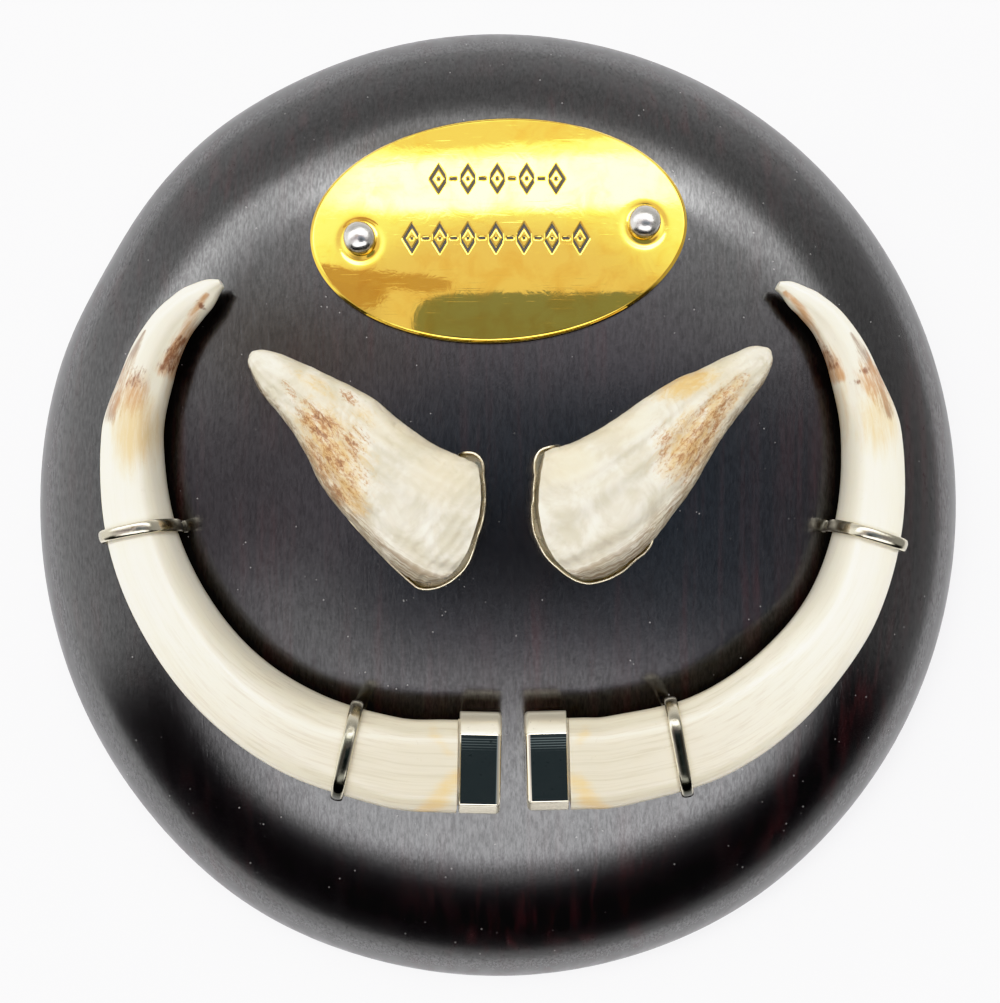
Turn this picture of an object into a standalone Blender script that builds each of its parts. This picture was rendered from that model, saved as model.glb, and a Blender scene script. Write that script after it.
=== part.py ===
"""Mounted wild boar tusks: two lower tusks and two grinders on an oval wooden plaque.

The plaque lies on its flat back with its face up. X runs to the right, Y to the top of the
plaque and Z out of its face. The origin is the middle of the back. Lengths are in metres, and
the lists of stations and outline points are in millimetres, times MM where they are used.
"""
import math

import bmesh
import bpy
import numpy as np
from mathutils import Matrix, Vector

MM = 0.001
GAP = 0.3 * MM

# Plaque: a turned board, pulled a little taller than it is wide
PLAQUE_RADIUS = 117.0 * MM
PLAQUE_TALLNESS = 1.0245
PLAQUE_THICKNESS = 25.0 * MM
FACE_RADIUS = 77.0 * MM
FOOT_ROUND = 3.0 * MM
SHOULDER_STEPS = 8
FOOT_STEPS = 3
PLAQUE_SEGMENTS = 72
# Hand-shaped swells and flats of the rim: angle from +X in degrees, spread, height
RIM_SWELLS = (
    (0.0, 24.0, -0.5 * MM),
    (180.0, 24.0, -0.5 * MM),
    (150.0, 9.0, -1.2 * MM),
    (128.0, 9.0, 0.6 * MM),
    (238.0, 14.0, 0.9 * MM),
    (302.0, 12.0, 0.4 * MM),
)
FACE_Z = PLAQUE_THICKNESS

# Lower tusks: stations from tip to root as (x, y, width, height, lift off the face) in mm, and
# the share of the root's section there, whose inner flank bulges high over the wood
LEFT_TUSK_STATIONS = (
    (-61.5, 49.4, 1.8, 2.0, 2.7, 0.0),
    (-63.6, 48.2, 4.4, 3.4, 2.3, 0.0),
    (-65.9, 46.2, 6.5, 4.7, 2.0, 0.0),
    (-68.6, 43.8, 7.6, 5.6, 1.8, 0.0),
    (-72.8, 38.7, 8.7, 6.9, 1.4, 0.0),
    (-76.9, 29.8, 10.0, 8.2, 0.9, 0.0),
    (-80.1, 15.2, 11.2, 9.6, 0.4, 0.0),
    (-78.1, -4.7, 12.6, 10.9, 0.3, 0.0),
    (-70.5, -23.0, 13.7, 12.1, 0.3, 0.0),
    (-58.0, -38.5, 14.8, 13.3, 0.3, 0.05),
    (-41.4, -49.3, 16.6, 14.5, 0.3, 0.25),
    (-22.3, -54.5, 18.2, 15.2, 0.3, 1.0),
    (-10.6, -55.3, 18.8, 15.3, 0.3, 1.0),
)
RIGHT_TUSK_STATIONS = (
    (62.3, 48.9, 1.8, 2.0, 2.7, 0.0),
    (64.5, 48.0, 3.7, 3.2, 2.3, 0.0),
    (66.9, 46.1, 5.3, 4.3, 2.0, 0.0),
    (69.7, 43.9, 6.2, 5.2, 1.8, 0.0),
    (74.1, 39.0, 7.2, 6.4, 1.4, 0.0),
    (78.4, 30.0, 8.9, 7.8, 0.9, 0.0),
    (82.0, 15.4, 10.9, 9.4, 0.4, 0.0),
    (81.1, -4.5, 12.1, 10.6, 0.3, 0.0),
    (74.4, -23.3, 13.2, 11.9, 0.3, 0.1),
    (61.4, -38.3, 15.7, 13.2, 0.3, 0.9),
    (45.0, -49.1, 17.1, 14.4, 0.3, 1.0),
    (25.9, -54.15, 18.3, 15.1, 0.3, 1.0),
    (17.4, -54.75, 18.5, 15.2, 0.3, 1.0),
)
# The root keeps its full size up to a shoulder just outside its cap, and is dressed down there
ROOT_WIDTH = 17.6
ROOT_HEIGHT = 12.6
ROOT_LIFT = 1.4
ROOT_CLEARANCE = 0.6
NECK_CLEARANCE = 0.35
SHOULDER_CLEARANCE = 0.6

# Sections across a lower tusk, counted round from the inner side over the top: (across, up),
# where across runs from -0.5 on the inner side to 0.5 and up runs from 0 to 1
BODY_SECTION = (
    (-0.50, 0.34),
    (-0.45, 0.68),
    (-0.27, 0.94),
    (0.08, 1.00),
    (0.37, 0.94),
    (0.50, 0.74),
    (0.45, 0.34),
    (0.24, 0.05),
    (-0.06, 0.00),
    (-0.36, 0.08),
)
# At the root the upper side slopes down to an inner flank that bulges high
ROOT_SECTION = (
    (-0.50, 0.58),
    (-0.45, 0.76),
    (-0.32, 0.89),
    (0.02, 0.96),
    (0.28, 1.00),
    (0.45, 0.87),
    (0.50, 0.64),
    (0.41, 0.22),
    (0.10, 0.00),
    (-0.28, 0.12),
)
# Towards the tip the inner side is worn to a facet with a soft ridge over it
TIP_SECTION = (
    (-0.50, 0.34),
    (-0.45, 0.62),
    (-0.29, 0.80),
    (-0.10, 0.96),
    (0.18, 1.00),
    (0.44, 0.74),
    (0.47, 0.36),
    (0.22, 0.04),
    (-0.10, 0.00),
    (-0.38, 0.08),
)
FACET_END = 34.0
FACET_FADE = 12.0
TUSK_AROUND = 20
TUSK_ALONG = 24
TIP_EASE = 1.35
# The tusks bow round this point, in mm, so their outer sides face away from it
TUSK_BOW_MIDDLE = (0.0, 10.0)

# End caps: nickel-silver sleeves shaped to the root, closed at the middle of the plaque
CAP_WIDTH = 20.1 * MM
CAP_HEIGHT = 15.4 * MM
CAP_LENGTH = 9.6 * MM
CAP_WALL = 0.6 * MM
CAP_END_ROUND = 1.0 * MM
CAP_END_STEPS = 3
# The cap's section as arcs joined by straight runs: middle (across, up) and radius in mm, first
# and last angle in degrees, points. They run from the inner foot round over the outer side.
CAP_ARCS = (
    (-4.2, 1.5, 1.5, 215.0, 270.0, 2),
    (8.55, 1.5, 1.5, 270.0, 360.0, 3),
    (8.55, 11.3, 1.5, 0.0, 45.0, 3),
    (6.3, 14.5, 0.9, 45.0, 98.8, 3),
    (-6.58, 12.58, 0.8, 98.8, 119.5, 2),
    (-4.05, 8.1, 6.0, 119.5, 215.0, 6),
)
CAP_MOUTH_SLANT = 1.2 * MM
# Each cap's middle seen from above in mm, the plan angle from its mouth to its closed end, and
# its width as a share of the full one
CAPS = {
    "left": ((-4.1, -54.75), -1.2, 1.0),
    "right": ((10.8, -54.3), 181.4, 0.97),
}

# Wire loops of flattened wire: where each crosses its tusk, the crossing's plan angle, and the
# angle that its crest leans to the left of the crossing, in degrees
WIRE_HALF_WIDTH = 1.35 * MM
WIRE_HALF_THICKNESS = 0.55 * MM
WIRE_CLEARANCE = 1.4 * GAP
WIRE_SIDES = 8
LEG_DEPTH = 5.0 * MM
LEG_START = 1.0 * MM
LEAN_LEVEL = 8.0 * MM
LOOPS = {
    "left_upper_wire_loop": ("left", (-77.9, -5.6), 12.0, 5.0),
    "left_lower_wire_loop": ("left", (-32.4, -52.8), 78.0, -6.0),
    "right_upper_wire_loop": ("right", (80.9, -6.7), -18.0, 0.0),
    "right_lower_wire_loop": ("right", (39.0, -52.0), -80.0, -9.0),
}

# Grinders: the upper and lower edge seen from above, tip to root, with the height of each
# station and its lift off the face, in mm
LEFT_GRINDER_STATIONS = (
    ((-53.4, 34.0), (-54.6, 32.3), 2.4, 4.2),
    ((-51.0, 34.1), (-54.5, 30.2), 4.6, 3.4),
    ((-46.6, 32.7), (-51.6, 24.6), 7.6, 2.6),
    ((-40.4, 29.9), (-47.0, 19.3), 10.2, 2.2),
    ((-33.6, 26.7), (-42.0, 12.1), 12.6, 2.0),
    ((-27.0, 23.0), (-37.2, 3.4), 14.4, 1.9),
    ((-20.8, 17.8), (-31.2, -3.9), 15.6, 1.9),
    ((-14.4, 13.4), (-25.3, -10.2), 16.2, 1.9),
    ((-9.2, 10.9), (-20.3, -14.6), 16.0, 1.9),
    ((-6.2, 9.8), (-16.8, -16.5), 15.4, 1.9),
    ((-4.4, 8.9), (-13.8, -16.3), 14.6, 2.0),
)
# How far the root's end bows out along the tooth, and the power of the bow's outline
LEFT_GRINDER_BOW = (5.0, 2.6)
RIGHT_GRINDER_STATIONS = (
    ((58.6, 34.8), (60.1, 33.4), 2.4, 4.2),
    ((55.6, 34.9), (60.1, 30.8), 4.6, 3.4),
    ((50.4, 32.8), (57.4, 25.8), 7.6, 2.6),
    ((44.2, 29.7), (52.9, 20.6), 10.2, 2.2),
    ((37.6, 26.8), (47.8, 13.8), 12.6, 2.0),
    ((31.4, 22.9), (42.4, 5.0), 14.4, 1.9),
    ((25.6, 18.9), (36.8, -3.0), 15.6, 1.9),
    ((20.0, 15.3), (30.6, -9.9), 16.2, 1.9),
    ((14.8, 12.9), (25.0, -13.9), 16.0, 1.9),
    ((12.0, 12.2), (21.9, -15.3), 15.4, 1.9),
    ((10.2, 11.3), (19.3, -15.7), 14.6, 2.0),
)
RIGHT_GRINDER_BOW = (6.7, 2.2)
GRINDER_AROUND = 28
GRINDER_ALONG = 16
GRINDER_RIBS = 4.5
GRINDER_RIB_HEIGHT = 0.035
GRINDER_RIB_GROWTH = 1.6
GRINDER_SIDE_LEVEL = 0.40
GRINDER_ROUNDNESS = 2.3

# Grinder cups: the wall's outer line seen from above, in mm, with the wall's height there
CUP_WALL = 0.5 * MM
CUP_CLEARANCE = 1.4 * GAP
CUP_LIP = 1.2
# The wall counts as standing, and is kept clear of the tooth, above this height in mm
CUP_STANDING = 1.8
LEFT_CUP_LINE = (
    (-12.5, 8.4, CUP_LIP),
    (-9.6, 10.6, CUP_LIP),
    (-7.8, 11.7, 6.6),
    (-5.3, 11.6, 7.4),
    (-3.5, 10.2, 7.6),
    (-2.9, 8.0, 7.6),
    (-3.3, 2.0, 7.4),
    (-3.6, -3.0, 7.0),
    (-4.4, -7.4, 6.8),
    (-5.9, -11.9, 6.5),
    (-7.9, -14.8, 6.4),
    (-10.3, -16.8, 6.2),
    (-12.6, -18.1, 6.1),
    (-15.2, -18.6, 6.0),
    (-17.4, -18.3, 6.0),
    (-19.4, -16.9, 5.8),
    (-24.2, -12.6, 5.4),
    (-30.4, -6.2, 4.6),
    (-33.6, -2.9, 3.4),
    (-35.2, -0.4, CUP_LIP),
    (-32.4, 4.0, CUP_LIP),
    (-24.0, 7.6, CUP_LIP),
)
RIGHT_CUP_LINE = (
    (18.4, 10.6, CUP_LIP),
    (14.9, 12.4, CUP_LIP),
    (12.4, 13.2, 6.4),
    (9.5, 12.3, 7.4),
    (8.2, 10.6, 7.6),
    (7.8, 8.4, 7.6),
    (8.1, 5.6, 7.5),
    (7.9, 2.8, 7.4),
    (7.3, 0.2, 7.2),
    (7.3, -2.9, 7.2),
    (7.7, -5.6, 7.0),
    (8.7, -8.3, 6.8),
    (10.1, -10.8, 6.6),
    (12.0, -13.0, 6.4),
    (14.5, -15.1, 6.2),
    (17.0, -16.6, 6.0),
    (19.7, -17.3, 6.0),
    (22.0, -17.0, 5.9),
    (25.0, -16.0, 5.8),
    (27.9, -14.4, 5.6),
    (30.5, -12.2, 5.4),
    (32.8, -10.4, 5.2),
    (34.4, -8.0, 4.8),
    (34.4, -5.4, 4.2),
    (30.8, -0.6, CUP_LIP),
    (26.0, 8.0, CUP_LIP),
)
CUP_AROUND = 48
# Shortest length that is divided by, far below any real one
TINY = 1e-9
# A level inside a cup, over its floor, that its wall stands round
CUP_MIDDLE_LEVEL = 3.0 * MM
# Edges sharper than these angles, in degrees, are shaded as edges
TURNED_SHARP = 30.0
CUP_SHARP = 50.0
SHARP = 40.0

# Name plate: thin domed brass with a nail at each end
PLATE_CENTRE = (0.2 * MM, 62.3 * MM)
PLATE_HALF_LENGTH = 42.7 * MM
PLATE_HALF_HEIGHT = 25.3 * MM
PLATE_TURN = 3.4
PLATE_THICKNESS = 1.0 * MM
PLATE_CROWN = 1.3 * MM
PLATE_EDGE_BEVEL = 0.35 * MM
PLATE_SEGMENTS = 48
NAIL_PLACES = {
    "left_plate_nail": (-31.0 * MM, 59.9 * MM),
    "right_plate_nail": (32.9 * MM, 63.5 * MM),
}
NAIL_HEAD_RADIUS = 3.7 * MM
NAIL_HEAD_HEIGHT = 2.6 * MM
NAIL_RIM_HEIGHT = 0.4 * MM
NAIL_UNDERSIDE_RADIUS = 3.55 * MM
NAIL_SHANK_RADIUS = 0.9 * MM
NAIL_SHANK_DEPTH = 9.0 * MM
NAIL_TIP_CLEARANCE = 0.5 * MM
NAIL_STEPS = 16
NAIL_DOME_STEPS = 4
CUTTER_SIDES = 10


def clear_scene():
    """Remove what the start-up file holds."""
    for item in list(bpy.data.objects):
        bpy.data.objects.remove(item, do_unlink=True)


def make_collection(name):
    """Make a collection and link it to the scene."""
    collection = bpy.data.collections.new(name)
    bpy.context.scene.collection.children.link(collection)
    return collection


def make_material(name, colour, roughness, metallic):
    """Make a Principled material with one colour."""
    material = bpy.data.materials.new(name)
    material.use_nodes = True
    shader = material.node_tree.nodes["Principled BSDF"]
    shader.inputs["Base Color"].default_value = (*colour, 1.0)
    shader.inputs["Roughness"].default_value = roughness
    shader.inputs["Metallic"].default_value = metallic
    return material


def smooth_mesh(mesh, angle=SHARP):
    """Shade a mesh smooth, but for edges sharper than the angle."""
    mesh.shade_smooth()
    mesh.set_sharp_from_angle(angle=math.radians(angle))


def add_object(name, mesh, collection, material):
    """Put a mesh in the scene as an object with one material."""
    mesh.materials.clear()
    mesh.materials.append(material)
    item = bpy.data.objects.new(name, mesh)
    collection.objects.link(item)
    return item


def catmull_rom(points, count, closed, ease=1.0):
    """Smooth curve through points, sampled evenly in chord length.

    Rows of points may hold more than two values: all are carried along the same curve. An ease
    above 1 crowds the samples towards the first point.
    """
    points = np.asarray(points, float)
    if closed:
        knots = np.vstack([points[-1], points, points[0], points[1]])
    else:
        knots = np.vstack([2 * points[0] - points[1], points, 2 * points[-1] - points[-2]])
    spans = len(knots) - 3
    chords = np.linalg.norm(np.diff(knots[1:-1, :2], axis=0), axis=1)
    lengths = np.concatenate([[0.0], np.cumsum(chords)])
    wanted = np.linspace(0.0, 1.0, count + 1 if closed else count) ** ease * lengths[-1]
    if closed:
        wanted = wanted[:-1]
    span = np.clip(np.searchsorted(lengths, wanted, side="right") - 1, 0, spans - 1)
    t = ((wanted - lengths[span]) / chords[span])[:, None]
    p0, p1, p2, p3 = knots[span], knots[span + 1], knots[span + 2], knots[span + 3]
    line = 2 * p1 + (p2 - p0) * t
    square = (2 * p0 - 5 * p1 + 4 * p2 - p3) * t ** 2
    cube = (3 * p1 - p0 - 3 * p2 + p3) * t ** 3
    return 0.5 * (line + square + cube)


def loft(name, rings, square_end=False):
    """Skin a stack of closed rings and close both ends, as one body.

    An end is closed with a fan. A square end is closed with a ladder of faces instead, between
    the points that face each other across the last ring's first point.
    """
    rings = np.asarray(rings, float)
    layers, around = rings.shape[0], rings.shape[1]
    points = [*rings.reshape(-1, 3).tolist(), rings[0].mean(axis=0).tolist()]
    faces = []
    for layer in range(layers - 1):
        for step in range(around):
            after = (step + 1) % around
            low, high = layer * around, (layer + 1) * around
            faces.append((low + step, low + after, high + after, high + step))
    first = layers * around
    top = (layers - 1) * around
    for step in range(around):
        faces.append((first, (step + 1) % around, step))
    if square_end:
        for step in range(around // 2):
            rung = (step, step + 1, around - step - 1, (around - step) % around)
            faces.append([top + corner for corner in dict.fromkeys(rung)])
    else:
        points.append(rings[-1].mean(axis=0).tolist())
        for step in range(around):
            faces.append((first + 1, top + step, top + (step + 1) % around))
    mesh = bpy.data.meshes.new(name)
    mesh.from_pydata(points, [], faces)
    turn_faces_out(mesh)
    return mesh


def turn_faces_out(mesh):
    """Make every face of a closed mesh point out."""
    work = bmesh.new()
    work.from_mesh(mesh)
    bmesh.ops.recalc_face_normals(work, faces=work.faces)
    work.to_mesh(mesh)
    work.free()


def evaluated_mesh(item):
    """Return a new mesh of an object with its modifiers applied."""
    graph = bpy.context.evaluated_depsgraph_get()
    return bpy.data.meshes.new_from_object(item.evaluated_get(graph))


def plaque_profile():
    """Profile of the board from the middle of the face, down its outer side, to the back."""
    reach = PLAQUE_RADIUS - FACE_RADIUS
    drop = PLAQUE_THICKNESS - FOOT_ROUND
    points = [(0.0, PLAQUE_THICKNESS)]
    for step in range(SHOULDER_STEPS + 1):
        turn = math.pi / 2 * step / SHOULDER_STEPS
        radius = FACE_RADIUS + reach * math.sin(turn)
        points.append((radius, FOOT_ROUND + drop * math.cos(turn)))
    for step in range(1, FOOT_STEPS + 1):
        turn = math.pi / 2 * step / FOOT_STEPS
        radius = PLAQUE_RADIUS - FOOT_ROUND * (1 - math.cos(turn))
        points.append((radius, FOOT_ROUND * (1 - math.sin(turn))))
    points.append((0.0, 0.0))
    return points


def shape_rim(mesh):
    """Pull the turned board tall and give its rim the swells and flats of hand work."""
    for vertex in mesh.vertices:
        x, y = vertex.co.x, vertex.co.y
        radius = math.hypot(x, y)
        angle = math.degrees(math.atan2(y, x)) % 360.0
        swell = 0.0
        for middle, spread, height in RIM_SWELLS:
            away = (angle - middle + 180.0) % 360.0 - 180.0
            swell += height * math.exp(-(away / spread) ** 2)
        grow = 1.0 + swell / PLAQUE_RADIUS * (radius / PLAQUE_RADIUS) ** 4
        vertex.co.x = x * grow
        vertex.co.y = y * PLAQUE_TALLNESS * grow


def add_cutter(name, place, radius, depth, collection):
    """Make an upright round cutter that goes down into the face at a place."""
    work = bmesh.new()
    bmesh.ops.create_cone(work, cap_ends=True, segments=CUTTER_SIDES, radius1=radius, radius2=radius,
                          depth=depth * 2)
    mesh = bpy.data.meshes.new(name)
    work.to_mesh(mesh)
    work.free()
    cutter = bpy.data.objects.new(name, mesh)
    cutter.location = (place[0], place[1], FACE_Z)
    cutter.hide_render = True
    cutter.display_type = "WIRE"
    collection.objects.link(cutter)
    return cutter


def cut_with(item, cutter):
    """Cut one object out of another."""
    modifier = item.modifiers.new("cut " + cutter.name, "BOOLEAN")
    modifier.operation = "DIFFERENCE"
    modifier.solver = "EXACT"
    modifier.object = cutter


def make_plaque(parts, cutters, material, hole_places):
    """Turn the board, shape its rim and drill the holes for the wires and nails."""
    profile = bpy.data.meshes.new("plaque profile")
    points = plaque_profile()
    edges = [(index, index + 1) for index in range(len(points) - 1)]
    profile.from_pydata([(radius, 0.0, height) for radius, height in points], edges, [])
    turned = bpy.data.objects.new("plaque profile", profile)
    parts.objects.link(turned)
    screw = turned.modifiers.new("turn", "SCREW")
    screw.steps = PLAQUE_SEGMENTS
    screw.render_steps = PLAQUE_SEGMENTS
    screw.use_merge_vertices = True
    screw.merge_threshold = 0.00001
    mesh = evaluated_mesh(turned)
    mesh.name = "plaque"
    bpy.data.objects.remove(turned, do_unlink=True)
    shape_rim(mesh)
    smooth_mesh(mesh, TURNED_SHARP)
    plaque = add_object("plaque", mesh, parts, material)
    for name, place, radius, depth in hole_places:
        cutter = add_cutter(name, place, radius, depth, cutters)
        cut_with(plaque, cutter)
    return plaque


def root_rings(station, cap_centre, cap_turn, cap_share, outward):
    """Rings where the root enters its cap: the shoulder, the neck at the mouth and the end.

    The shoulder has the size of the tusk's last station. The neck and the end are dressed down
    and lie on the cap's own axis. The first two lean back as the cap's mouth does. The outward
    value is 1 where the tusk's outer side is to the right of the way into the cap.
    """
    heading = np.array([math.cos(math.radians(cap_turn)), math.sin(math.radians(cap_turn))])
    side = np.array([heading[1], -heading[0]]) * outward
    section = catmull_rom(ROOT_SECTION, TUSK_AROUND, closed=True)
    x, y, width, height, lift = station[:5]
    offset = (np.array([x, y]) - cap_centre) @ side
    half = CAP_LENGTH / MM / 2
    end = half - CAP_WALL / MM - ROOT_CLEARANCE
    slant = CAP_MOUTH_SLANT / CAP_HEIGHT
    dressed = (ROOT_WIDTH * cap_share, ROOT_HEIGHT, ROOT_LIFT)
    rings = []
    for along, offset, (width, height, lift), slant in (
            (-half - SHOULDER_CLEARANCE, offset, (width, height, lift), slant),
            (-half - NECK_CLEARANCE, 0.0, dressed, slant),
            (end, 0.0, dressed, 0.0)):
        z = section[:, 1] * height + lift
        forward = (along + slant * z)[:, None] * heading
        across = (offset + section[:, 0] * width)[:, None] * side
        plan = np.array(cap_centre) + forward + across
        rings.append(np.column_stack([plan * MM, FACE_Z + z * MM]))
    return rings


def tusk_frame(stations, count):
    """Sample a tusk's spine: its rows of stations, outward directions and lengths."""
    rows = catmull_rom(stations, count, closed=False, ease=TIP_EASE)
    spine = rows[:, :2]
    ahead = np.gradient(spine, axis=0)
    ahead /= np.linalg.norm(ahead, axis=1)[:, None]
    side = np.stack([ahead[:, 1], -ahead[:, 0]], axis=1)
    if ((spine - TUSK_BOW_MIDDLE) * side).sum() < 0:
        side = -side
    steps = np.linalg.norm(np.diff(spine, axis=0), axis=1)
    lengths = np.concatenate([[0.0], np.cumsum(steps)])
    return rows, side, lengths


def tusk_rings(stations):
    """Rings of a lower tusk: the worn facet fades into the body, and that into the root."""
    tip = catmull_rom(TIP_SECTION, TUSK_AROUND, closed=True)
    body = catmull_rom(BODY_SECTION, TUSK_AROUND, closed=True)
    root = catmull_rom(ROOT_SECTION, TUSK_AROUND, closed=True)
    rows, side, lengths = tusk_frame(stations, TUSK_ALONG)
    spine, width, height, lift = rows[:, :2], rows[:, 2], rows[:, 3], rows[:, 4]
    rooted = np.clip(rows[:, 5], 0.0, 1.0)[:, None, None]
    blend = np.clip((lengths - FACET_END) / FACET_FADE + 0.5, 0.0, 1.0)
    blend = (blend * blend * (3 - 2 * blend))[:, None, None]
    section = body * (1 - rooted) + root * rooted
    section = tip * (1 - blend) + section * blend
    across = section[:, :, 0] * width[:, None]
    up = section[:, :, 1] * height[:, None] + lift[:, None]
    x = spine[:, 0][:, None] + across * side[:, 0][:, None]
    y = spine[:, 1][:, None] + across * side[:, 1][:, None]
    return np.stack([x * MM, y * MM, FACE_Z + up * MM], axis=2)


def make_tusk(name, stations, cap, outward, parts, material):
    """Build one lower tusk with its dressed root."""
    rings = [*tusk_rings(stations), *root_rings(stations[-1], *cap, outward)]
    mesh = loft(name, rings)
    smooth_mesh(mesh)
    return add_object(name, mesh, parts, material)


def cap_ring():
    """Closed ring of the cap's section in (across, up), made of its arcs."""
    across, up = [], []
    for middle, level, radius, first, last, steps in CAP_ARCS:
        for step in range(steps):
            turn = math.radians(first + (last - first) * step / (steps - 1))
            across.append((middle + radius * math.cos(turn)) * MM)
            up.append((level + radius * math.sin(turn)) * MM)
    return across, up


def make_end_cap(name, centre, turn, width_share, outward, parts, material):
    """Shape a cap: an open skin with round edges at its closed end, given its thickness.

    The outward value is 1 where the tusk's outer side is to the right of the way into the cap.
    """
    across, up = cap_ring()
    around = len(across)
    half = CAP_LENGTH / 2
    rings = [(-half, 0.0, CAP_MOUTH_SLANT), (half - CAP_END_ROUND, 0.0, 0.0)]
    for step in range(1, CAP_END_STEPS + 1):
        angle = math.pi / 2 * step / CAP_END_STEPS
        along = half - CAP_END_ROUND * (1 - math.sin(angle))
        rings.append((along, CAP_END_ROUND * (1 - math.cos(angle)), 0.0))
    points = []
    for along, inset, slant in rings:
        shrink_across = (1 - 2 * inset / CAP_WIDTH) * width_share
        shrink_up = 1 - 2 * inset / CAP_HEIGHT
        for step in range(around):
            height = CAP_HEIGHT / 2 + (up[step] - CAP_HEIGHT / 2) * shrink_up
            lean = slant * up[step] / CAP_HEIGHT
            points.append((along + lean, -outward * across[step] * shrink_across, height))
    faces = []
    for layer in range(len(rings) - 1):
        for step in range(around):
            after = (step + 1) % around
            low, high = layer * around, (layer + 1) * around
            faces.append((low + step, low + after, high + after, high + step))
    points.append((half, 0.0, CAP_HEIGHT / 2))
    top = (len(rings) - 1) * around
    for step in range(around):
        faces.append((len(points) - 1, top + step, top + (step + 1) % around))
    mesh = bpy.data.meshes.new(name)
    mesh.from_pydata(points, [], faces)
    turn_faces_out(mesh)
    face_outward(mesh, Vector((0.0, 0.0, CAP_HEIGHT / 2)))
    smooth_mesh(mesh)
    cap = add_object(name, mesh, parts, material)
    cap.location = (centre[0] * MM, centre[1] * MM, FACE_Z + GAP)
    cap.rotation_euler = (0.0, 0.0, math.radians(turn))
    wall = cap.modifiers.new("wall", "SOLIDIFY")
    wall.thickness = CAP_WALL
    wall.offset = -1.0
    return cap


def face_outward(mesh, middle):
    """Flip an open skin whose faces look towards the given middle."""
    outward = 0.0
    for polygon in mesh.polygons:
        outward += (polygon.center - middle).dot(polygon.normal) * polygon.area
    if outward < 0:
        mesh.flip_normals()


def cross_section(rings, place, heading):
    """Cut a lofted tusk with an upright plane and return the section as (along, up) points.

    The plane passes through the place and runs along the heading. Each line of the loft is cut
    where it crosses the plane nearest to the place.
    """
    across_plane = np.array([-heading[1], heading[0]])
    away = (rings[:, :, :2] - place) @ across_plane
    section = []
    for line in range(rings.shape[1]):
        crossings = np.nonzero(away[:-1, line] * away[1:, line] <= 0)[0]
        middles = rings[crossings, line, :2] + rings[crossings + 1, line, :2]
        ring = crossings[np.argmin(np.linalg.norm(middles / 2 - place, axis=1))]
        share = away[ring, line] / (away[ring, line] - away[ring + 1, line])
        point = rings[ring, line] * (1 - share) + rings[ring + 1, line] * share
        section.append(((point[:2] - place) @ heading, point[2]))
    return np.array(section)


def push_out(outline, distance):
    """Move each side of a closed outline straight out by a distance and meet at the corners."""
    sides = np.roll(outline, -1, axis=0) - outline
    normals = np.stack([-sides[:, 1], sides[:, 0]], axis=1)
    normals /= np.linalg.norm(normals, axis=1)[:, None]
    if ((outline - outline.mean(axis=0)) * normals).sum() < 0:
        normals = -normals
    corners = normals + np.roll(normals, 1, axis=0)
    corners /= (corners * normals).sum(axis=1)[:, None]
    return outline + corners * distance


def loop_path(rings, place, heading, lean):
    """Centre line of a wire loop: up from one hole, over the tusk, down into the other.

    The tusk's section is cut where the loop crosses it and pushed out by the wire's half
    thickness and a clearance. What stays above the wood is kept, and the legs go straight down.
    The whole loop leans about the level of the tusk's sides.
    """
    section = cross_section(rings, place, heading)
    pushed = push_out(section, WIRE_HALF_THICKNESS + WIRE_CLEARANCE)
    pushed = np.roll(pushed, -np.argmin(pushed[:, 1]), axis=0)
    kept = pushed[pushed[:, 1] > FACE_Z + LEG_START]
    foot = FACE_Z - LEG_DEPTH
    points = [(kept[0, 0], foot), *kept.tolist(), (kept[-1, 0], foot)]
    left = np.array([-heading[1], heading[0]]) * math.tan(math.radians(lean))
    path = []
    for along, height in points:
        shift = max(height - FACE_Z, LEG_START) - LEAN_LEVEL
        path.append((*(place + heading * along + left * shift), height))
    return np.array(path)


def make_wire_loop(name, path, heading, parts, material):
    """Carry the flattened wire's section along its path, its wide side flat on the tusk."""
    across = np.array([-heading[1], heading[0], 0.0])
    runs = np.diff(path, axis=0)
    runs /= np.linalg.norm(runs, axis=1)[:, None]
    before = np.vstack([runs[0], runs])
    after = np.vstack([runs, runs[-1]])
    rise = np.cross(before, across) + np.cross(after, across)
    rise /= (rise * np.cross(after, across)).sum(axis=1)[:, None]
    turn = 2 * math.pi * (np.arange(WIRE_SIDES) + 0.5) / WIRE_SIDES
    thick = np.cos(turn)[None, :, None] * WIRE_HALF_THICKNESS * rise[:, None, :]
    wide = np.sin(turn)[None, :, None] * WIRE_HALF_WIDTH * across
    mesh = loft(name, path[:, None, :] + thick + wide)
    smooth_mesh(mesh)
    return add_object(name, mesh, parts, material)


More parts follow.
